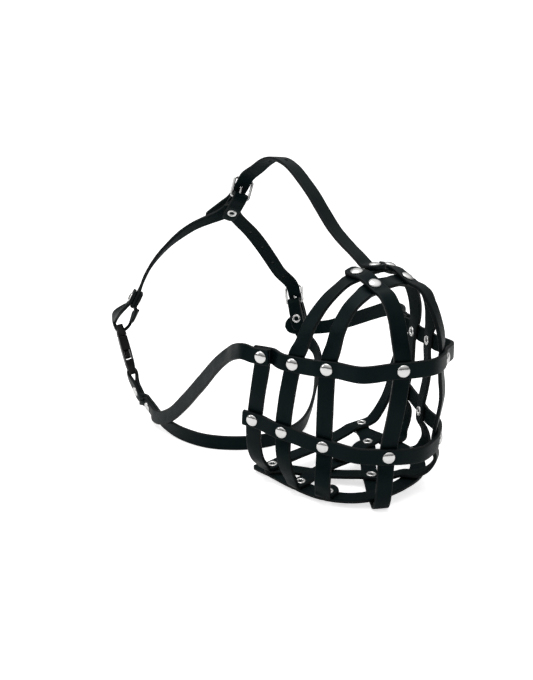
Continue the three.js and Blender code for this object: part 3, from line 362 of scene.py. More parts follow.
        [-141.83, 88.94, -25.45, -0.5279, 0.8361, -0.1491],
    ],
    "top_buckle_tab": [
        [-145.27, 6.63, 80.45, -0.5316, 0.5262, 0.6637],
        [-138.94, 5.94, 86.07, -0.5316, 0.5262, 0.6637],
        [-134.41, 5.4, 89.97, -0.5316, 0.5262, 0.6637],
        [-130.65, 4.65, 92.45, -0.5316, 0.5262, 0.6637],
        [-126.93, 3.91, 94.96, -0.5316, 0.5262, 0.6637],
        [-124.77, 3.26, 95.85, 0.1499, 0.3117, 0.9276],
        [-122.97, 2.03, 94.95, 0.7457, -0.0809, 0.6614],
        [-122.43, 0.94, 92.93, 0.8941, -0.425, -0.0016],
        [-123.63, 0.65, 90.85, 0.5316, -0.5262, -0.6637],
        [-126.61, 0.65, 87.41, 0.5316, -0.5262, -0.6637],
        [-129.57, 0.62, 83.93, 0.5316, -0.5262, -0.6637],
        [-133.99, 1.05, 79.9, 0.5316, -0.5262, -0.6637],
        [-142.19, 1.94, 72.62, 0.5316, -0.5262, -0.6637],
    ],
    "side_buckle_tab": [
        [-143.98, 88.93, -38.72, -0.5279, 0.8361, -0.1491],
        [-146.54, 88.75, -30.61, -0.5279, 0.8361, -0.1491],
        [-148.29, 88.55, -24.88, -0.5279, 0.8361, -0.1491],
        [-149.25, 87.83, -20.48, -0.5279, 0.8361, -0.1491],
        [-150.24, 87.16, -16.08, -0.5279, 0.8361, -0.1491],
        [-150.44, 86.36, -13.8, -0.5803, 0.5712, 0.563],
        [-149.53, 84.5, -12.66, -0.3011, -0.0201, 0.9534],
        [-148.12, 82.68, -13.15, 0.1588, -0.5993, 0.7718],
        [-146.96, 81.97, -15.16, 0.5279, -0.8361, 0.1491],
        [-145.24, 81.48, -19.34, 0.5279, -0.8361, 0.1491],
        [-143.49, 80.94, -23.52, 0.5279, -0.8361, 0.1491],
        [-141.63, 80.98, -29.23, 0.5279, -0.8361, 0.1491],
        [-138.32, 81.2, -39.71, 0.5279, -0.8361, 0.1491],
    ],
}
# Rivets: centre of the outer strap face, outward axis, number of straps.
RIVETS = {
    "upper_rear_right": ([0.0, -77.3, 0.0], [0.42096, -0.90708, 0.0], 3),
    "upper_rear_left": ([0.0, 77.3, 0.0], [0.42096, 0.90708, 0.0], 3),
    "upper_middle_right": ([21.2, -65.9, -2.5], [0.4202, -0.90743, 0.0], 2),
    "upper_middle_left": ([21.2, 65.9, -2.5], [0.4202, 0.90743, 0.0], 2),
    "upper_side_right": ([45.7, -55.8, -2.3], [0.50001, -0.86602, 0.0], 2),
    "upper_side_left": ([45.7, 55.8, -2.3], [0.50001, 0.86602, 0.0], 2),
    "upper_front_right": ([86.6, -22.6, 0.0], [0.84101, -0.54065, -0.02002], 2),
    "upper_front_left": ([86.6, 22.6, 0.0], [0.84101, 0.54065, -0.02002], 2),
    "lower_rear_right": ([-10.0, -77.6, -51.0], [0.40167, -0.9138, -0.06025], 2),
    "lower_rear_left": ([-10.0, 77.6, -51.0], [0.40167, 0.9138, -0.06025], 2),
    "lower_middle_right": ([13.0, -68.9, -55.6], [0.44175, -0.89354, -0.08032], 2),
    "lower_middle_left": ([13.0, 68.9, -55.6], [0.44175, 0.89354, -0.08032], 2),
    "lower_side_right": ([42.0, -55.0, -61.3], [0.50171, -0.86294, -0.06021], 2),
    "lower_side_left": ([42.0, 55.0, -61.3], [0.50171, 0.86294, -0.06021], 2),
    "lower_front_right": ([80.3, -27.2, -64.4], [0.84013, -0.54008, -0.05001], 2),
    "lower_front_left": ([80.3, 27.2, -64.4], [0.84013, 0.54008, -0.05001], 2),
    "crown_rear_right": ([33.9, -17.1, 59.6], [0.11978, -0.21959, 0.96821], 2),
    "crown_rear_left": ([33.9, 17.1, 59.6], [0.11978, 0.21959, 0.96821], 2),
    "crown_front_right": ([51.6, -16.6, 54.0], [0.42195, -0.20093, 0.88408], 2),
    "crown_front_left": ([51.6, 16.6, 54.0], [0.42195, 0.20093, 0.88408], 2),
    "crown_center": ([34.6, 0.0, 62.0], [-0.1005, 0.0, 0.99494], 2),
    "chin_rear_right": ([-19.0, -50.0, -105.5], [0.0, 0.07479, -0.9972], 3),
    "chin_rear_left": ([-22.0, 50.0, -98.0], [0.0, 0.07479, -0.9972], 3),
    "rim_middle_right": ([13.0, -49.5, -105.463], [0.0, 0.07479, -0.9972], 2),
    "rim_middle_left": ([13.0, 49.5, -98.037], [0.0, 0.07479, -0.9972], 2),
    "rim_front_right": ([39.0, -45.3, -105.147], [0.0, 0.07479, -0.9972], 2),
    "rim_front_left": ([39.0, 45.3, -98.353], [0.0, 0.07479, -0.9972], 2),
    "chin_front": ([38.0, 0.0, -105.85], [0.0, 0.0, -1.0], 2),
    "chin_middle": ([8.0, 0.0, -100.1], [0.0, 0.0, -1.0], 2),
    "chin_cross_left": ([4.5, 30.5, -97.9], [0.0, 0.0995, -0.99504], 2),
    "collar_top": ([-139.6, 6.6, 86.9], [-0.53158, 0.52621, 0.66372], 4),
    "collar_side": ([-147.2, 89.8, -30.8], [-0.52792, 0.8361, -0.14911], 4),
    "clip_upper": ([-210.6, -56.7, 0.7], [-0.44566, -0.75745, 0.47713], 3),
    "clip_lower": ([-203.1, -60.9, -85.9], [-0.16294, -0.96786, -0.19156], 2),
    "collar_right": ([-184.5, -60.4, -95.4], [-0.17399, -0.96164, -0.21208], 2),
}
# Local frames of the collar: origin, along the strap, outer side, across.
FRAMES = {
    "J": ([-139.6, 6.6, 86.9], [-0.830549, -0.17011, -0.530331], [-0.531582, 0.526209, 0.66372], [0.16616, 0.833167, -0.52747]),
    "JB": ([-139.6, 6.6, 86.9], [-0.745677, 0.080917, -0.661376], [-0.531582, 0.526209, 0.66372], [0.401728, 0.846496, -0.349368]),
    "S": ([-147.2, 89.8, -30.8], [0.301071, 0.020071, -0.953391], [-0.527924, 0.8361, -0.149111], [0.794137, 0.54821, 0.262321]),
    "CL": ([-221.5, -58.0, -51.0], [0.382946, 0.030074, -0.923281], [-0.390699, -0.900405, -0.191378], [-0.837082, 0.434012, -0.333057]),
    "UL": ([-210.6, -56.7, 0.7], [-0.256643, -0.40251, -0.878704], [-0.445664, -0.757449, 0.477132], [-0.857624, 0.514059, 0.015009]),
    "LO": ([-203.1, -60.9, -85.9], [0.621462, 0.050118, -0.781839], [-0.162941, -0.967861, -0.191559], [-0.766313, 0.24644, -0.593323]),
    "CK": ([-184.5, -60.4, -95.4], [0.821156, -0.02281, -0.570247], [-0.173988, -0.96164, -0.212077], [-0.543535, 0.273365, -0.793625]),
}
HOLES_FOREHEAD = (129.5, 153.0)
HOLES_NECK = (40.6, 64.0, 87.3, 110.7)
WORLD_LIGHT = 1.0
WORLD_LOW = 0.07
FLOOR_LIFT = 0.66
LIGHTS = [
    ("key_top", (-0.1, -0.25, 1.5), (-0.04, 0, 0.1), 1.0, 1.0, 6.0),
    ("fill_left", (-0.7, -1.4, 0.8), (-0.04, 0, 0.1), 0.8, 0.8, 3.0),
]


def row(p):
    """mm, z from the upper rivet row -> metres, row frame."""
    return (np.asarray(p, float) - [CENTRE[0], CENTRE[1], -GROUND]) * 0.001


def unit(v):
    v = np.asarray(v, float)
    return v / np.linalg.norm(v, axis=-1, keepdims=True)


# ------------------------------------------------------------------ courses of the straps
def knots_of(points):
    """Control points with the flat stretches at the rivets added."""
    out = []
    for i, p in enumerate(points):
        if len(p) < 7:
            out.append((np.array(p[:3], float), unit(p[3:6])))
            continue
        q, n, flat = np.array(p[:3], float), unit(p[3:6]), p[6]
        a = np.array(points[i - 1][:3], float) if i > 0 else None
        b = np.array(points[i + 1][:3], float) if i + 1 < len(points) else None
        t = np.zeros(3)
        if a is not None:
            t += unit(q - a)
        if b is not None:
            t += unit(b - q)
        t -= n * (t @ n)
        t = unit(t)
        if a is not None and np.linalg.norm(a - q) > flat + 1.8:
            out += [(q - t * flat, n), (q - t * (flat - 1.6), n)]
        out.append((q, n))
        if b is not None and np.linalg.norm(b - q) > flat + 1.8:
            out += [(q + t * (flat - 1.6), n), (q + t * flat, n)]
    return [k[0] for k in out], [k[1] for k in out]


def centripetal(P, m=24):
    """Centripetal Catmull-Rom through P, m samples to a stretch: points and the control parameter of each."""
    P = [np.array(p, float) for p in P]
    Q = [2 * P[0] - P[1]] + P + [2 * P[-1] - P[-2]]
    pts, par = [], []
    for i in range(len(P) - 1):
        p0, p1, p2, p3 = Q[i], Q[i + 1], Q[i + 2], Q[i + 3]
        d0, d1, d2 = (max(np.linalg.norm(b - a), 1e-6) ** 0.5 for a, b in ((p0, p1), (p1, p2), (p2, p3)))
        t1 = ((p1 - p0) / d0 - (p2 - p0) / (d0 + d1) + (p2 - p1) / d1) * d1
        t2 = ((p2 - p1) / d1 - (p3 - p1) / (d1 + d2) + (p3 - p2) / d2) * d1
        u = np.linspace(0, 1, m, endpoint=False)[:, None]
        c2 = -3 * p1 + 3 * p2 - 2 * t1 - t2
        c3 = 2 * p1 - 2 * p2 + t1 + t2
        pts.append(p1 + t1 * u + c2 * u ** 2 + c3 * u ** 3)
        par.append(i + u[:, 0])
    pts.append(P[-1][None])
    par.append(np.array([len(P) - 1.0]))
    return np.concatenate(pts), np.concatenate(par)


def smooth(a, sigma, ds):
    """Gaussian smoothing along the first axis, ends held by reflection about the end value."""
    k = int(math.ceil(3 * sigma / ds))
    if k < 1 or len(a) < 3:
        return a
    k = min(k, len(a) - 1)
    w = np.exp(-0.5 * (np.arange(-k, k + 1) * ds / sigma) ** 2)
    w /= w.sum()
    pad = np.concatenate([2 * a[0] - a[k:0:-1], a, 2 * a[-1] - a[-2:-k - 2:-1]])
    return np.stack([np.convolve(pad[:, j], w, "valid") for j in range(a.shape[1])], 1)


class Course:
    def __init__(self, points, sigma=1.2, nsigma=2.6):
        P, N = knots_of(points)
        p, par = centripetal(P)
        a = np.minimum(par.astype(int), len(P) - 2)
        f = (par - a)[:, None]
        f = f * f * (3 - 2 * f) * 0.5 + f * 0.5
        N = np.array(N)
        n = N[a] * (1 - f) + N[a + 1] * f
        d = np.linalg.norm(np.diff(p, axis=0), axis=1)
        s = np.concatenate([[0], np.cumsum(d)])
        keep = np.concatenate([[True], d > 1e-9])
        s, p, n = s[keep], p[keep], n[keep]
        self.total = s[-1]
        self.ds = 0.35
        self.s = np.linspace(0, self.total, max(8, int(round(self.total / self.ds))) + 1)
        self.ds = self.s[1] - self.s[0]
        q = np.stack([np.interp(self.s, s, p[:, k]) for k in range(3)], 1)
        m = np.stack([np.interp(self.s, s, n[:, k]) for k in range(3)], 1)
        q, m = smooth(q, sigma, self.ds), smooth(m, nsigma, self.ds)
        t = np.gradient(q, self.s, axis=0)
        t = unit(t)
        m -= t * (m * t).sum(1, keepdims=True)
        m = unit(m)
        self.p, self.t, self.n, self.w = q, t, m, np.cross(t, m)

    def at(self, s):
        s = np.clip(s, 0, self.total)
        g = lambda a: np.stack([np.interp(s, self.s, a[:, k]) for k in range(3)], -1)
        return g(self.p), unit(g(self.t)), unit(g(self.n)), unit(g(self.w))


def noise3(p, scale, seed):
    """Cheap smooth noise, about -1 to 1, from summed sines; the same every run."""
    r = np.random.RandomState(seed)
    out = np.zeros(len(p))
    for _ in range(7):
        k = unit(r.normal(size=3)) * (0.6 + 0.9 * r.rand()) * 2 * math.pi / scale
        out += np.sin(p @ k + r.rand() * 6.283)
    return out / 3.2


# ------------------------------------------------------------------ meshes
def mesh_object(name, verts, faces, mats, face_mat=None, smooth_faces=True):
    me = bpy.data.meshes.new(name)
    me.from_pydata([tuple(v) for v in np.asarray(verts, float)], [], faces)
    for m in mats:
        me.materials.append(m)
    if face_mat is not None:
        me.polygons.foreach_set("material_index", np.asarray(face_mat, np.int32))
    me.polygons.foreach_set("use_smooth", np.full(len(me.polygons), smooth_faces))
    me.update()
    me.validate()
    o = bpy.data.objects.new(name, me)
    bpy.context.scene.collection.objects.link(o)
    return o


def outward(o):
    bm = bmesh.new()
    bm.from_mesh(o.data)
    bmesh.ops.recalc_face_normals(bm, faces=bm.faces)
    bm.to_mesh(o.data)
    bm.free()
    return o


def apply_modifiers(o):
    bpy.context.view_layer.update()
    dg = bpy.context.evaluated_depsgraph_get()
    me = bpy.data.meshes.new_from_object(o.evaluated_get(dg), depsgraph=dg)
    old = o.data
    o.modifiers.clear()
    o.data = me
    bpy.data.meshes.remove(old)
    return o


def section(hw, ht, ro=0.72, ri=0.5, crown=0.1):
    """Outline of a strap's cross-section as (w, n, part): part 0 outer face, 1 edge, 2 inner face."""
    pts = []
    k = 12
    for i in range(k + 1):
        w = -(hw - ro) + 2 * (hw - ro) * i / k
        pts.append((w, ht - crown * (w / hw) ** 2, 0))
    for i in range(1, 5):
        a = math.pi / 2 * i / 4
        pts.append((hw - ro + ro * math.sin(a), ht - crown - ro + ro * math.cos(a), 1))
    for i in range(1, 5):
        a = math.pi / 2 * i / 4
        pts.append((hw - ri + ri * math.cos(a), -(ht - ri) - ri * math.sin(a), 1 if i < 3 else 2))
    for i in range(1, k):
        w = (hw - ri) - 2 * (hw - ri) * i / k
        pts.append((w, -ht, 2))
    for i in range(4, 0, -1):
        a = math.pi / 2 * i / 4
        pts.append((-(hw - ri + ri * math.cos(a)), -(ht - ri) - ri * math.sin(a), 2))
    for i in range(4, 0, -1):
        a = math.pi / 2 * i / 4
        pts.append((-(hw - ro + ro * math.sin(a)), ht - crown - ro + ro * math.cos(a), 1))
    return pts


END_R = 0.6


def end_rows(kind):
    """(distance from the end, half width) near an end."""
    if kind == "round":
        r, e = 6.2, 2.35
        ds = [0, 0.06, 0.16, 0.32, 0.55, 0.85, 1.25, 1.8, 2.5, 3.3, 4.2, 5.2, 6.2]
        return [(d, HW * (1 - (1 - min(1, d / r)) ** e) ** (1 / e)) for d in ds]
    if kind == "chamfer":
        ds = [0, 0.08, 0.2, 0.4, 0.7, 1.1, 1.6, 2.1, 2.6, 3.2]
        return [(d, min(HW, 3.7 + d * 0.92) if d < 2.1 else HW - max(0, 3.2 - d) ** 2 * 0.3) for d in ds]
    r = 0.9
    ds = [0, 0.06, 0.16, 0.32, 0.5, 0.7, 0.9]
    return [(d, HW - r + math.sqrt(max(0, r * r - (r - d) ** 2))) for d in ds]


SEED = [0]


def strap(name, points, start="square", end="square", rivets=(), step=1.15, ht=HT, wave=1.0, sigma=1.2, nsigma=2.6):
    c = Course(points, sigma, nsigma)
    SEED[0] += 1
    seed = 100 * SEED[0]
    a, b = end_rows(start), end_rows(end)
    s0, s1 = a[-1][0], c.total - b[-1][0]
    n = max(2, int(round((s1 - s0) / step)))
    rows_ = list(a) + [(s0 + (s1 - s0) * i / n, HW) for i in range(1, n)] + [(c.total - d, h) for d, h in b[::-1]]
    sv = np.array([r[0] for r in rows_])
    hv = np.array([r[1] for r in rows_])
    p, t, nn, w = c.at(sv)
    # the edges wander a little, as hand-cut leather does
    hv = hv + wave * 0.07 * noise3(np.stack([sv, sv * 0, sv * 0], 1), 23.0, seed)
    sec = section(HW, ht)
    m = len(sec)
    fromend = np.minimum(sv, c.total - sv)
    inset = np.where(fromend < END_R, END_R - np.sqrt(np.maximum(0, END_R ** 2 - (END_R - fromend) ** 2)), 0)
    V = np.zeros((len(sv), m, 3))
    for j, (cw, cn, part) in enumerate(sec):
        half = np.maximum(hv - inset, 0.05)
        ww = np.sign(cw) * np.maximum(half - (HW - abs(cw)), half * abs(cw) / HW * 0.96)
        cn2 = np.sign(cn) * np.maximum(abs(cn) - inset, 0.15)
        V[:, j] = p + w * ww[:, None] + nn * cn2[:, None]
    parts = np.array([q[2] for q in sec])
    flat = V.reshape(-1, 3)
    nrm = np.repeat(nn, m, 0)
    onface = np.tile(parts, len(sv))
    # slow unevenness of the leather
    flat = flat + nrm * (wave * 0.09 * noise3(flat, 31.0, seed + 1) + wave * 0.035 * noise3(flat, 9.0, seed + 2))[:, None]
    # leather gives under the caps and rings of its rivets
    for key in rivets:
        rp, rn, plies = RIVETS[key]
        rp, rn = np.array(rp), unit(rn)
        deep = (plies - 1) * PLY + LEATHER
        rel = flat - rp
        h = rel @ rn
        r = np.linalg.norm(rel - h[:, None] * rn, axis=1)
        f = np.where(r < 4.1, 1.0, np.where(r < 7.4, 0.5 + 0.5 * np.cos(np.pi * (r - 4.1) / 3.3), 0.0))
        lip = np.exp(-((r - 6.3) / 1.0) ** 2) * 0.06
        top = (np.abs(h - 0.1) < 1.0) & (onface != 2) & (nrm @ rn > 0.3) | (np.abs(h - 0.1) < 1.0) & (onface == 2) & (nrm @ rn < -0.3)
        low = (np.abs(h + deep + 0.15) < 1.0) & (onface == 2) & (nrm @ rn > 0.3) | (np.abs(h + deep + 0.15) < 1.0) & (onface != 2) & (nrm @ rn < -0.3)
        flat = flat - rn * (np.where(top, 0.34 * f - lip, 0) - np.where(low, 0.3 * f - lip, 0))[:, None]
    V = flat.reshape(len(sv), m, 3)
    verts = V.reshape(-1, 3)
    faces, fm = [], []
    for i in range(len(sv) - 1):
        for j in range(m):
            k = (j + 1) % m
            faces.append((i * m + j, i * m + k, (i + 1) * m + k, (i + 1) * m + j))
            fm.append(1 if parts[j] == 1 or parts[k] == 1 else int(parts[j]))
    c0, c1 = len(verts), len(verts) + 1
    verts = np.concatenate([verts, V[0].mean(0)[None], V[-1].mean(0)[None]])
    L = (len(sv) - 1) * m
    for j in range(m):
        k = (j + 1) % m
        faces.append((k, j, c0))
        fm.append(1)
        faces.append((L + j, L + k, c1))
        fm.append(1)
    o = mesh_object(name, row(verts), faces, [LEATHER_OUT, LEATHER_EDGE, LEATHER_IN], fm)
    outward(o)
    return o, c


def lathe(profile, p, n, sides=56):
    """Closed surface of revolution about n at p; the profile runs axis to axis as (r, h)."""
    n = unit(n)
    x = unit(np.cross([0.31, 0.2, 0.93] if abs(n[2]) < 0.9 else [1.0, 0.1, 0.0], n))
    y = np.cross(n, x)
    a = np.linspace(0, 2 * math.pi, sides, endpoint=False)
    verts, faces = [np.array(p) + n * profile[0][1]], []
    inner = profile[1:-1]
    for r, h in inner:
        verts += list(np.array(p) + n * h + r * (np.cos(a)[:, None] * x + np.sin(a)[:, None] * y))
    verts.append(np.array(p) + n * profile[-1][1])
    for j in range(sides):
        faces.append((0, 1 + j, 1 + (j + 1) % sides))
    for i in range(len(inner) - 1):
        for j in range(sides):
            k = (j + 1) % sides
            a0, b0 = 1 + i * sides, 1 + (i + 1) * sides
            faces.append((a0 + j, b0 + j, b0 + k, a0 + k))
    e = 1 + (len(inner) - 1) * sides
    last = len(verts) - 1
    for j in range(sides):
        faces.append((last, e + (j + 1) % sides, e + j))
    return np.array(verts), faces


def rivet(key):
    rp, rn, plies = RIVETS[key]
    deep = (plies - 1) * PLY + LEATHER
    prof = [(0, CAP_H)]
    for i in range(1, 13):                       # domed cap, flatter in the middle, turned down at the rim
        f = i / 12
        prof.append((4.28 * f, CAP_H - 1.12 * f ** 2.6))
    for a in np.linspace(0.35, math.pi * 0.98, 8):
        prof.append((4.14 + 0.36 * math.sin(a) ** 0.8, 0.22 + 0.4 * math.cos(a)))
    prof += [(3.6, -0.28), (1.5, -0.28), (1.5, -deep + 0.25), (3.3, -deep + 0.25)]
    for a in np.linspace(0, math.pi, 9):         # rolled ring on the inner side
        prof.append((3.05 + 1.02 * math.cos(a * 0.98 - 0.0) if a < 3 else 2.0, -deep + 0.2 - 1.02 * math.sin(a)))
    prof += [(1.92, -deep + 0.5), (1.86, -deep + 1.1), (1.6, -deep + 1.35), (0, -deep + 1.4)]
    # the ring's points run outwards first
    verts, faces = lathe(prof, rp, rn)
    o = mesh_object("rivet_piece_" + key, row(verts), faces, [NICKEL])
    outward(o)
    return o


def sweep(name, path, radius, mat, closed=False, sides=18, normal=None, flatten=1.0):
    """Round wire along a path in mm. radius is a number or one per point."""
    P = np.asarray(path, float)
    n = len(P)
    R = np.full(n, radius) if np.isscalar(radius) else np.asarray(radius, float)
    if closed:
        T = unit(np.roll(P, -1, 0) - np.roll(P, 1, 0))
    else:
        T = unit(np.gradient(P, axis=0))
    B = unit(np.asarray(normal, float))
    verts, faces = [], []
    a = np.linspace(0, 2 * math.pi, sides, endpoint=False)
    for i in range(n):
        b = unit(B - T[i] * (B @ T[i]))
        s = np.cross(T[i], b)
        verts += list(P[i] + R[i] * (np.cos(a)[:, None] * s + flatten * np.sin(a)[:, None] * b))
    for i in range(n if closed else n - 1):
        for j in range(sides):
            i2, k = (i + 1) % n, (j + 1) % sides
            faces.append((i * sides + j, i * sides + k, i2 * sides + k, i2 * sides + j))
    if not closed:
        for i, sgn in ((0, -1), (n - 1, 1)):
            base = len(verts)
            ring0 = i * sides
            prev = ring0
            for f, g in ((0.82, 0.5), (0.45, 0.85)):
                verts += [P[i] + (np.asarray(verts[ring0 + j]) - P[i]) * f + T[i] * sgn * R[i] * g for j in range(sides)]
                cur = len(verts) - sides
                for j in range(sides):
                    faces.append((prev + j, prev + (j + 1) % sides, cur + (j + 1) % sides, cur + j))
                prev = cur
            verts.append(P[i] + T[i] * sgn * R[i])
            for j in range(sides):
                faces.append((prev + j, prev + (j + 1) % sides, len(verts) - 1))
    o = mesh_object(name, row(np.array(verts)), faces, [mat])
    outward(o)
    return o


def cylinder_between(a, b, r, sides=40, rim=0.0):
    """A plain closed cylinder used to cut holes."""
    a, b = np.asarray(a, float), np.asarray(b, float)
    n = unit(b - a)
    x = unit(np.cross([0.31, 0.2, 0.93] if abs(n[2]) < 0.9 else [1.0, 0.1, 0.0], n))
    y = np.cross(n, x)
    t = np.linspace(0, 2 * math.pi, sides, endpoint=False)
    ring = r * (np.cos(t)[:, None] * x + np.sin(t)[:, None] * y)
    verts = list(a + ring) + list(b + ring)
    faces = [(j, (j + 1) % sides, sides + (j + 1) % sides, sides + j) for j in range(sides)]
    faces += [tuple(range(sides))[::-1], tuple(range(sides, 2 * sides))]
    return verts, faces


def cutter(verts, faces):
    o = mesh_object("cutter", row(np.array(verts)), faces, [LEATHER_EDGE], smooth_faces=True)
    outward(o)
    return o


def oval_cutter(p, along, normal, r, shift, length, sides=40):
    """A slot with round ends: length along `along` between the centres is 2*shift."""
    p, u, n = np.asarray(p, float), unit(along), unit(normal)
    v = np.cross(n, u)
    t = np.linspace(0, 2 * math.pi, sides, endpoint=False)
    ring = np.array([r * (math.cos(x) * u + math.sin(x) * v) + (shift if math.cos(x) >= 0 else -shift) * u for x in t])
    verts = list(p + ring - n * length / 2) + list(p + ring + n * length / 2)
    faces = [(j, (j + 1) % sides, sides + (j + 1) % sides, sides + j) for j in range(sides)]
    faces += [tuple(range(sides))[::-1], tuple(range(sides, 2 * sides))]
    return cutter(verts, faces)


def cut(o, cutters):
    for c in cutters:
        m = o.modifiers.new("cut", "BOOLEAN")
        m.operation, m.solver, m.object = "DIFFERENCE", "EXACT", c
        apply_modifiers(o)
        bpy.data.objects.remove(c, do_unlink=True)
    return o


class Local:
    def __init__(self, key):
        self.p, self.T, self.N, self.W = (np.array(v, float) for v in FRAMES[key])

    def at(self, s, n, w=0.0):
        return self.p + self.T * s + self.N * n + self.W * w


# ------------------------------------------------------------------ materials
def nodes_for(name):
    m = bpy.data.materials.new(name)
    m.use_nodes = True
    nt = m.node_tree
    bsdf = next(n for n in nt.nodes if n.type == "BSDF_PRINCIPLED")
    return m, nt, bsdf


def coord(nt):
    return nt.nodes.new("ShaderNodeTexCoord").outputs["Object"]


def noise_node(nt, src, scale, detail=3.0, rough=0.55, distortion=0.0):
    n = nt.nodes.new("ShaderNodeTexNoise")
    n.inputs["Scale"].default_value = scale
    n.inputs["Detail"].default_value = detail
    n.inputs["Roughness"].default_value = rough
    n.inputs["Distortion"].default_value = distortion
    nt.links.new(src, n.inputs["Vector"])
    return n.outputs["Fac"]


def ramp(nt, src, stops):
    r = nt.nodes.new("ShaderNodeValToRGB")
    while len(r.color_ramp.elements) < len(stops):
        r.color_ramp.elements.new(0.5)
    for e, (pos, c) in zip(r.color_ramp.elements, stops):
        e.position = pos
        e.color = (*c, 1) if len(c) == 3 else c
    nt.links.new(src, r.inputs["Fac"])
    return r.outputs["Color"]


def maprange(nt, src, a, b, c, d):
    r = nt.nodes.new("ShaderNodeMapRange")
    for k, v in zip(("From Min", "From Max", "To Min", "To Max"), (a, b, c, d)):
        r.inputs[k].default_value = v
    nt.links.new(src, r.inputs["Value"])
    return r.outputs["Result"]


def math_node(nt, op, a, b):
    r = nt.nodes.new("ShaderNodeMath")
    r.operation = op
    for i, v in enumerate((a, b)):
        if isinstance(v, (int, float)):
            r.inputs[i].default_value = v
        else:
            nt.links.new(v, r.inputs[i])
    return r.outputs[0]


def bump_node(nt, height, strength, distance, into=None):
    b = nt.nodes.new("ShaderNodeBump")
    b.inputs["Strength"].default_value = strength
    b.inputs["Distance"].default_value = distance
    nt.links.new(height, b.inputs["Height"])
    if into is not None:
        nt.links.new(into, b.inputs["Normal"])
    return b.outputs["Normal"]


def voronoi(nt, src, scale, feature="F1", rnd=1.0):
    v = nt.nodes.new("ShaderNodeTexVoronoi")
    v.feature = feature
    v.inputs["Scale"].default_value = scale
    v.inputs["Randomness"].default_value = rnd
    nt.links.new(src, v.inputs["Vector"])
    return v.outputs["Distance"]


def leather_outer():
    m, nt, b = nodes_for("leather_outer_face")
    c = coord(nt)
    big = noise_node(nt, c, 38, 3, 0.6)
    mid = noise_node(nt, c, 260, 4, 0.6)
    col = ramp(nt, math_node(nt, "ADD", math_node(nt, "MULTIPLY", big, 0.65), math_node(nt, "MULTIPLY", mid, 0.35)),
               [(0.28, OUT_DARK), (0.72, OUT_LIGHT)])
    nt.links.new(col, b.inputs["Base Color"])
    nt.links.new(maprange(nt, math_node(nt, "ADD", math_node(nt, "MULTIPLY", big, 0.5), math_node(nt, "MULTIPLY", mid, 0.5)), 0.3, 0.7, 0.27, 0.40), b.inputs["Roughness"])
    b.inputs["Specular IOR Level"].default_value = 0.09
    b.inputs["Specular Tint"].default_value = (0.66, 0.98, 1.0, 1)
    cells = voronoi(nt, c, 1500, "DISTANCE_TO_EDGE")
    grain = noise_node(nt, c, 2300, 3, 0.6)
    creases = noise_node(nt, c, 520, 5, 0.65, 0.6)
    n1 = bump_node(nt, creases, 0.16, 0.0006)
    n2 = bump_node(nt, maprange(nt, cells, 0.0, 0.12, 0.0, 1.0), 0.10, 0.0002, n1)
    n3 = bump_node(nt, grain, 0.14, 0.0002, n2)
    nt.links.new(n3, b.inputs["Normal"])
    return m


def leather_inner():
    m, nt, b = nodes_for("leather_inner_face")
    c = coord(nt)
    big = noise_node(nt, c, 55, 3, 0.6)
    fib = noise_node(nt, c, 1300, 5, 0.7, 0.4)
    col = ramp(nt, math_node(nt, "ADD", math_node(nt, "MULTIPLY", big, 0.5), math_node(nt, "MULTIPLY", fib, 0.5)),
               [(0.3, IN_DARK), (0.72, IN_LIGHT)])
    nt.links.new(col, b.inputs["Base Color"])
    nt.links.new(maprange(nt, fib, 0.3, 0.7, 0.56, 0.78), b.inputs["Roughness"])
    b.inputs["Specular IOR Level"].default_value = 0.07
    b.inputs["Specular Tint"].default_value = (0.6, 0.98, 1.0, 1)
    b.inputs["Sheen Weight"].default_value = 0.02
    b.inputs["Sheen Roughness"].default_value = 0.5
    n1 = bump_node(nt, big, 0.2, 0.0015)
    nt.links.new(bump_node(nt, fib, 0.45, 0.0004, n1), b.inputs["Normal"])
    return m


def leather_edge():
    m, nt, b = nodes_for("leather_burnished_edge")
    c = coord(nt)
    fib = noise_node(nt, c, 900, 5, 0.65)
    col = ramp(nt, fib, [(0.3, EDGE_DARK), (0.75, EDGE_LIGHT)])
    nt.links.new(col, b.inputs["Base Color"])
    nt.links.new(maprange(nt, fib, 0.3, 0.7, 0.3, 0.5), b.inputs["Roughness"])
    b.inputs["Specular IOR Level"].default_value = 0.14
    nt.links.new(bump_node(nt, fib, 0.3, 0.0003), b.inputs["Normal"])
    return m


def nickel_mat(name, base, rough):
    m, nt, b = nodes_for(name)
    c = coord(nt)
    soft = noise_node(nt, c, 420, 3, 0.5)
    fine = noise_node(nt, c, 3200, 2, 0.5)
    col = ramp(nt, soft, [(0.3, [v * 0.95 for v in base]), (0.7, base)])
    nt.links.new(col, b.inputs["Base Color"])
    b.inputs["Metallic"].default_value = 1.0
    nt.links.new(maprange(nt, fine, 0.3, 0.75, rough * 0.7, rough * 1.5), b.inputs["Roughness"])
    n1 = bump_node(nt, soft, 0.1, 0.0004)
    nt.links.new(bump_node(nt, fine, 0.02, 0.0001, n1), b.inputs["Normal"])
    return m


def plastic_mat():
    m, nt, b = nodes_for("moulded_black_plastic")
    c = coord(nt)
    fine = noise_node(nt, c, 1900, 3, 0.55)
    big = noise_node(nt, c, 90, 2, 0.5)
    nt.links.new(ramp(nt, big, [(0.3, (0.0052, 0.0054, 0.0058)), (0.7, (0.009, 0.0092, 0.0096))]), b.inputs["Base Color"])
    nt.links.new(maprange(nt, big, 0.3, 0.7, 0.2, 0.3), b.inputs["Roughness"])
    b.inputs["Specular IOR Level"].default_value = 0.15
    nt.links.new(bump_node(nt, fine, 0.12, 0.0002), b.inputs["Normal"])
    return m


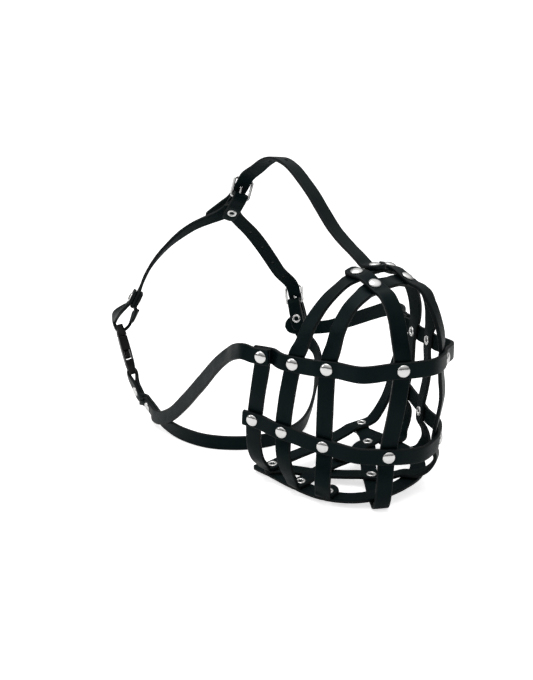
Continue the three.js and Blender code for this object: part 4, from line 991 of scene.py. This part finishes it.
OUT_DARK, OUT_LIGHT = (0.0012, 0.0034, 0.0037), (0.0026, 0.0066, 0.0072)
IN_DARK, IN_LIGHT = (0.0010, 0.0036, 0.0040), (0.0030, 0.0084, 0.0092)
EDGE_DARK, EDGE_LIGHT = (0.0016, 0.0034, 0.0037), (0.0052, 0.0092, 0.0098)
LEATHER_OUT, LEATHER_IN, LEATHER_EDGE = leather_outer(), leather_inner(), leather_edge()
NICKEL = nickel_mat("rivet_nickel_plate", (0.86, 0.86, 0.85), 0.13)
WIRE_MAT = nickel_mat("buckle_nickel_wire", (0.80, 0.80, 0.79), 0.17)
PLASTIC = plastic_mat()

# ------------------------------------------------------------------ straps
BODY = "harness"


def place(o, node, body=BODY):
    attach(o, body)
    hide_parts(node)
    return o


PAIRS = lambda *k: [x + side for x in k for side in ("_right", "_left")]
SPEC = {
    "upper_band": ("square", "square", PAIRS("upper_rear", "upper_middle", "upper_side", "upper_front")),
    "lower_band": ("square", "square", PAIRS("lower_rear", "lower_middle", "lower_side", "lower_front")),
    "rear_loop": ("square", "square", PAIRS("upper_rear", "lower_rear", "chin_rear")),
    "middle_loop": ("round", "round", PAIRS("upper_middle", "lower_middle", "crown_rear", "rim_middle") + ["crown_center", "chin_middle", "chin_cross_left"]),
    "front_loop": ("round", "round", PAIRS("upper_side", "lower_side", "crown_front", "rim_front")),
    "front_strap_right": ("chamfer", "round", ["crown_rear_right", "crown_front_right", "upper_front_right", "lower_front_right", "chin_front", "chin_cross_left", "chin_rear_left"]),
    "front_strap_left": ("chamfer", "round", ["crown_rear_left", "crown_front_left", "upper_front_left", "lower_front_left", "chin_front", "chin_rear_right"]),
    "bottom_rim": ("chamfer", "chamfer", PAIRS("chin_rear", "rim_middle", "rim_front")),
    "cheek_strap_right": ("square", "square", ["upper_rear_right", "collar_right"]),
    "cheek_strap_left": ("square", "round", ["upper_rear_left", "collar_side"]),
    "throat_strap": ("square", "square", ["collar_side", "collar_right", "clip_lower"]),
    "neck_strap": ("square", "square", ["collar_top", "clip_upper"]),
    "forehead_strap": ("round", "round", ["crown_center"]),
    "holed_neck_strap": ("square", "round", ["collar_top"]),
    "top_buckle_tab": ("square", "round", ["collar_top"]),
    "side_buckle_tab": ("square", "round", ["collar_side"]),
}
COURSE = {}
PIECE = {}
for node, (a, b, rv) in SPEC.items():
    tight = node in ("top_buckle_tab", "side_buckle_tab", "throat_strap")
    PIECE[node], COURSE[node] = strap("strap_" + node, STRAPS[node], a, b, rv,
                                      step=0.8 if node.endswith("tab") else 1.15,
                                      sigma=0.8 if tight else 1.3, nsigma=0.9 if tight else 2.6, wave=0.6 if tight else 1.0)


def stand(key):
    F = Local(key)
    c, s = math.cos(math.radians(TILT[key])), math.sin(math.radians(TILT[key]))
    at = lambda a, o, w=0.0: F.at(BAR_S - a * c + o * s, BAR_N + a * s + o * c, w)
    return F, at, unit(-F.T * c + F.N * s), unit(F.T * s + F.N * c)


PIN = [(0.2, 2.2), (BUCKLE_LEN + 1.7, WIRE_R + TONGUE_R + 0.2)]


def punch(node, dist, r=1.5):
    p, t, n, w = COURSE[node].at(np.array([dist]))
    return cutter(*cylinder_between(p[0] - n[0] * 5, p[0] + n[0] * 5, r))


def tongue_hole(key):
    F, at, al, out = stand(key)
    a, b = at(*PIN[0]), at(*PIN[1])
    p = unit(b - a)
    o = np.cross(np.cross(al, out), p)
    return oval_cutter(a + (b - a) * 0.6 + o * 1.0, o, p, 1.5, 0.95, 14)


def fold_slot(key):
    F, at, al, out = stand(key)
    p = at(1.6, 0.75)
    w = np.cross(al, out)
    return oval_cutter(p, al, out, 1.75, 3.0, 7.7)


for dist in HOLES_FOREHEAD:
    cut(PIECE["forehead_strap"], [punch("forehead_strap", dist)])
for dist in HOLES_NECK:
    cut(PIECE["holed_neck_strap"], [punch("holed_neck_strap", dist)])
cut(PIECE["forehead_strap"], [tongue_hole("JB")])
cut(PIECE["holed_neck_strap"], [tongue_hole("S")])
cut(PIECE["top_buckle_tab"], [fold_slot("JB")])
cut(PIECE["side_buckle_tab"], [fold_slot("S")])
for node in SPEC:
    place(PIECE[node], node)

# the clip loop, with its transform baked into the mesh
loop, COURSE["clip_loop"] = strap("strap_clip_loop", STRAPS["clip_loop"], "square", "square", ["clip_upper"], step=0.8, sigma=0.8, nsigma=0.9, wave=0.6)
CL, UL = Local("CL"), Local("UL")
tuple(row(UL.at(6, -4.35)))
tuple(row(CL.at(MB - 5, 0)))
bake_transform(loop)
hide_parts("clip_loop")

# ------------------------------------------------------------------ rivets
for key in RIVETS:
    place(rivet(key), "rivet_" + key)

# ------------------------------------------------------------------ buckles
def arc_loop(h, l, c, k=7):
    """Rounded rectangle as (along, across), hinge bar on along = 0."""
    pts = []
    for cx, cy, a0 in ((c, h - c, 180), (l - c, h - c, 90), (l - c, -h + c, 0), (c, -h + c, -90)):
        for i in range(k):
            a = math.radians(a0 - 90 * i / (k - 1))
            pts.append((cx + c * math.cos(a), cy + c * math.sin(a)))
    full = []
    for i, p in enumerate(pts):
        q = pts[(i + 1) % len(pts)]
        d = math.dist(p, q)
        n = max(1, int(d / 1.2))
        full += [(p[0] + (q[0] - p[0]) * j / n, p[1] + (q[1] - p[1]) * j / n) for j in range(n)]
    return full


def tongue(key, node, body):
    F, at, al, out = stand(key)
    R = WIRE_R + 0.08 + TONGUE_R
    pts, rad = [], []
    # in the plane of (along, out): start behind the bar, round its hinge side, and away on the outer side
    for a in np.linspace(math.radians(335), math.radians(92), 30):
        pts.append((R * math.cos(a), R * math.sin(a)))
        rad.append(TONGUE_R * 0.92)
    top = (BUCKLE_LEN + 0.1, WIRE_R + TONGUE_R + 0.12)
    n = 30
    for i in range(1, n + 1):
        f = i / n
        x = pts[29][0] + (top[0] - pts[29][0]) * f
        y = pts[29][1] + (top[1] - pts[29][1]) * f + 0.35 * math.sin(math.pi * f)
        pts.append((x, y))
        rad.append(TONGUE_R * (0.92 - 0.1 * f))
    for i in range(1, 7):
        f = i / 6
        pts.append((top[0] + 1.7 * f, top[1] - 0.55 * f * f))
        rad.append(TONGUE_R * (0.82 - 0.12 * f))
    P = np.array([at(x, y, 0) for x, y in pts])
    o = sweep("piece_" + node, P, rad, WIRE_MAT, closed=False, sides=18, normal=F.W)
    place(o, node, body)
    return o


for key, which in (("JB", "top"), ("S", "side")):
    F, at, al, out = stand(key)
    wire = sweep("piece_" + which + "_buckle_frame", [at(a, 0, w) for a, w in arc_loop(BUCKLE_HALF, BUCKLE_LEN, 2.0)],
                 WIRE_R, WIRE_MAT, closed=True, sides=22, normal=out)
    place(wire, which + "_buckle_frame", which + "_frame")
    tongue(key, which + "_buckle_tongue", which + "_tongue")


# ------------------------------------------------------------------ side-release clip
def loft(name, stations, mat, e=5.0, m=56):
    """Rounded body along the clip; stations are (s, half width, half thickness, n offset)."""
    verts, faces = [], []
    a = np.linspace(0, 2 * math.pi, m, endpoint=False)
    for s, hw, ht, off in stations:
        ca, sa = np.cos(a), np.sin(a)
        w = hw * np.sign(ca) * np.abs(ca) ** (2 / e)
        n = ht * np.sign(sa) * np.abs(sa) ** (2 / e) + off
        verts += [CL.at(s, n[i], w[i]) for i in range(m)]
    k = len(stations)
    for i in range(k - 1):
        for j in range(m):
            j2 = (j + 1) % m
            faces.append((i * m + j, i * m + j2, (i + 1) * m + j2, (i + 1) * m + j))
    faces.append(tuple(range(m))[::-1])
    faces.append(tuple(range((k - 1) * m, k * m)))
    o = mesh_object(name, row(np.array(verts)), faces, [mat])
    return outward(o)


def box_cutter(s0, s1, n0, n1, w0, w1):
    verts = [CL.at(s, n, w) for s in (s0, s1) for n in (n0, n1) for w in (w0, w1)]
    faces = [(0, 1, 3, 2), (4, 6, 7, 5), (0, 4, 5, 1), (2, 3, 7, 6), (0, 2, 6, 4), (1, 5, 7, 3)]
    o = mesh_object("cutter", row(np.array(verts)), faces, [PLASTIC], smooth_faces=False)
    return outward(o)


def soften(o, voxel=0.24, times=6):
    """Round every edge of a cut body as a mould does."""
    m = o.modifiers.new("remesh", "REMESH")
    m.mode, m.voxel_size = "VOXEL", voxel * 0.001
    m.use_smooth_shade = True
    apply_modifiers(o)
    m = o.modifiers.new("smooth", "SMOOTH")
    m.factor, m.iterations = 0.5, times
    apply_modifiers(o)
    o.data.polygons.foreach_set("use_smooth", np.full(len(o.data.polygons), True))
    if not o.data.materials:
        o.data.materials.append(PLASTIC)
    return o


def ease(x, a, b):
    t = min(1, max(0, (x - a) / (b - a)))
    return t * t * (3 - 2 * t)


def female_shape():
    st = []
    for s in np.linspace(MOUTH, FB + 2.2, 34):
        hw = CLIP_HW - 0.3 + 0.35 * math.sin(math.pi * ease(s, MOUTH, 14)) - 2.0 * ease(s, 13, FB + 2.2)
        ht = CLIP_HT - 0.15 + 0.15 * math.sin(math.pi * ease(s, MOUTH, 12)) - 0.9 * ease(s, 11, FB + 2.2)
        st.append((s, hw, ht, 0))
    s0, hw, ht, off = st[0]
    st = [(s0, hw - 0.6, ht - 0.6, 0), (s0 + 0.15, hw - 0.3, ht - 0.3, 0), (s0 + 0.5, hw, ht, 0)] + st[1:]
    s1, hw, ht, off = st[-1]
    st = st[:-1] + [(s1 - 0.5, hw, ht, 0), (s1 - 0.15, hw - 0.25, ht - 0.3, 0), (s1, hw - 0.7, ht - 0.7, 0)]
    return st


fem = loft("piece_female_clip", female_shape(), PLASTIC)
cut(fem, [
    box_cutter(MOUTH - 2, 10.5, -CLIP_HT + 1.6, CLIP_HT - 1.6, -CLIP_HW + 1.9, CLIP_HW - 1.9),
    box_cutter(0.5, 9.5, -CLIP_HT + 1.65, CLIP_HT - 1.65, -CLIP_HW - 3, CLIP_HW + 3),
    box_cutter(12.6, FB - 1.3, -CLIP_HT - 2, CLIP_HT + 2, -7.4, 7.4),
    box_cutter(FB - 3, FB + 6, 1.5, CLIP_HT + 2.3, -7.35, 7.35),
    box_cutter(FB - 3.1, FB + 6.2, -CLIP_HT - 2.3, -1.5, -7.35, 7.35),
])
soften(fem)
place(fem, "female_clip", "harness")


def male_shape():
    st = []
    for s in np.linspace(MB - 2.2, MOUTH - 0.4, 26):
        hw = CLIP_HW - 2.2 + 1.9 * ease(s, MB - 2.2, MB + 7)
        ht = CLIP_HT - 1.0 + 0.9 * ease(s, MB, MB + 8)
        st.append((s, hw, ht, 0))
    s0, hw, ht, off = st[0]
    st = [(s0, hw - 0.7, ht - 0.7, 0), (s0 + 0.15, hw - 0.3, ht - 0.3, 0), (s0 + 0.5, hw, ht, 0)] + st[1:]
    s1, hw, ht, off = st[-1]
    st = st[:-1] + [(s1 - 0.4, hw, ht, 0), (s1 - 0.12, hw - 0.2, ht - 0.2, 0), (s1, hw - 0.5, ht - 0.5, 0)]
    return st


male = loft("piece_male_clip", male_shape(), PLASTIC)
guide = box_cutter(MOUTH - 1.5, 6.5, -2.2, 2.2, -2, 2)
m = male.modifiers.new("join", "BOOLEAN")
m.operation, m.solver, m.object = "UNION", "EXACT", guide
apply_modifiers(male)
bpy.data.objects.remove(guide, do_unlink=True)
cut(male, [
    box_cutter(MB + 1.3, -14.8, -CLIP_HT - 2, CLIP_HT + 2, -7.4, 7.4),
    box_cutter(MB - 6, MB + 3, 1.5, CLIP_HT + 2.3, -7.35, 7.35),
    box_cutter(MB - 6.2, MB + 3.1, -CLIP_HT - 2.3, -1.5, -7.35, 7.35),
])
soften(male)
place(male, "male_clip", "clip_male")

for side, k in (("right", 1), ("left", -1)):
    out2 = [(MOUTH, 4.7), (0, 4.8), (6, 5.0), (8, 5.2), (8.6, 6.4), (8.3, 7.9), (7.6, 8.6), (5, 8.65), (2.4, 8.6), (1.6, 8.2), (1.1, 7.4), (0.2, 7.2), (MOUTH, 7.3)]
    bm = bmesh.new()
    lo = [bm.verts.new(row(CL.at(s, -2.2, k * w))) for s, w in out2]
    hi = [bm.verts.new(row(CL.at(s, 2.2, k * w))) for s, w in out2]
    bm.faces.new(lo)
    bm.faces.new(hi[::-1])
    for i in range(len(out2)):
        j = (i + 1) % len(out2)
        bm.faces.new((lo[i], hi[i], hi[j], lo[j]))
    bmesh.ops.recalc_face_normals(bm, faces=bm.faces)
    me = bpy.data.meshes.new("piece_clip_prong_" + side)
    bm.to_mesh(me)
    bm.free()
    me.materials.append(PLASTIC)
    o = bpy.data.objects.new("piece_clip_prong_" + side, me)
    bpy.context.scene.collection.objects.link(o)
    soften(o, 0.2, 5)
    place(o, "clip_prong_" + side, "clip_prong_" + side)

# ------------------------------------------------------------------ stage
bm = bmesh.new()
# a seamless pale sweep: flat under the object, far away all round
bmesh.ops.create_grid(bm, x_segments=2, y_segments=2, size=4.0)
me = bpy.data.meshes.new("floor")
bm.to_mesh(me)
bm.free()
floor = bpy.data.objects.new("floor", me)
bpy.context.scene.collection.objects.link(floor)
fm, nt, b = nodes_for("pale_floor")
b.inputs["Base Color"].default_value = (0.96, 0.96, 0.96, 1)
b.inputs["Roughness"].default_value = 0.55
b.inputs["Specular IOR Level"].default_value = 0.2
flp = nt.nodes.new("ShaderNodeLightPath")
nt.links.new(math_node(nt, "MULTIPLY", flp.outputs["Is Camera Ray"], FLOOR_LIFT), b.inputs["Emission Strength"])
b.inputs["Emission Color"].default_value = (1, 1, 1, 1)
floor.data.materials.append(fm)

world = bpy.data.worlds.new("studio")
bpy.context.scene.world = world
world.use_nodes = True
wt = world.node_tree
bg = next(n for n in wt.nodes if n.type == "BACKGROUND")
lp = wt.nodes.new("ShaderNodeLightPath")
mix = wt.nodes.new("ShaderNodeMix")
mix.data_type = "FLOAT"
mix.inputs[2].default_value = WORLD_LIGHT
mix.inputs[3].default_value = 1.05
wt.links.new(lp.outputs["Is Camera Ray"], mix.inputs[0])
wt.links.new(mix.outputs[0], bg.inputs["Strength"])
bg.inputs["Color"].default_value = (1, 1, 1, 1)
# a large soft ceiling: bright overhead, dim near the horizon
sky = wt.nodes.new("ShaderNodeSeparateXYZ")
wt.links.new(wt.nodes.new("ShaderNodeTexCoord").outputs["Generated"], sky.inputs[0])
wt.links.new(maprange(wt, sky.outputs["Z"], 0.05, 0.95, WORLD_LOW, WORLD_LIGHT), mix.inputs[2])


def area(name, loc, target, sx, sy, power):
    l = bpy.data.lights.new(name, "AREA")
    l.shape, l.size, l.size_y, l.energy = "RECTANGLE", sx, sy, power
    o = bpy.data.objects.new(name, l)
    o.location = loc
    d = Vector(target) - Vector(loc)
    o.rotation_euler = d.to_track_quat("-Z", "Y").to_euler()
    bpy.context.scene.collection.objects.link(o)
    return o


for spec in LIGHTS:
    area(*spec)

cam_data = bpy.data.cameras.new("camera")
cam_data.lens, cam_data.sensor_width, cam_data.sensor_fit = 47.65, 36.0, "AUTO"
cam_data.clip_start, cam_data.clip_end = 0.01, 50
cam = bpy.data.objects.new("camera", cam_data)
cam.matrix_world = Matrix((
    (0.63327791, -0.22017695, 0.7419442, 0.546097),
    (0.77390986, 0.18605037, -0.60535013, -0.467145),
    (-0.00475485, 0.9575528, 0.28821871, 0.304448),
    (0, 0, 0, 1),
))
bpy.context.scene.collection.objects.link(cam)
bpy.context.scene.camera = cam
bpy.context.scene.view_settings.view_transform = "Standard"
bpy.context.scene.view_settings.look = "None"
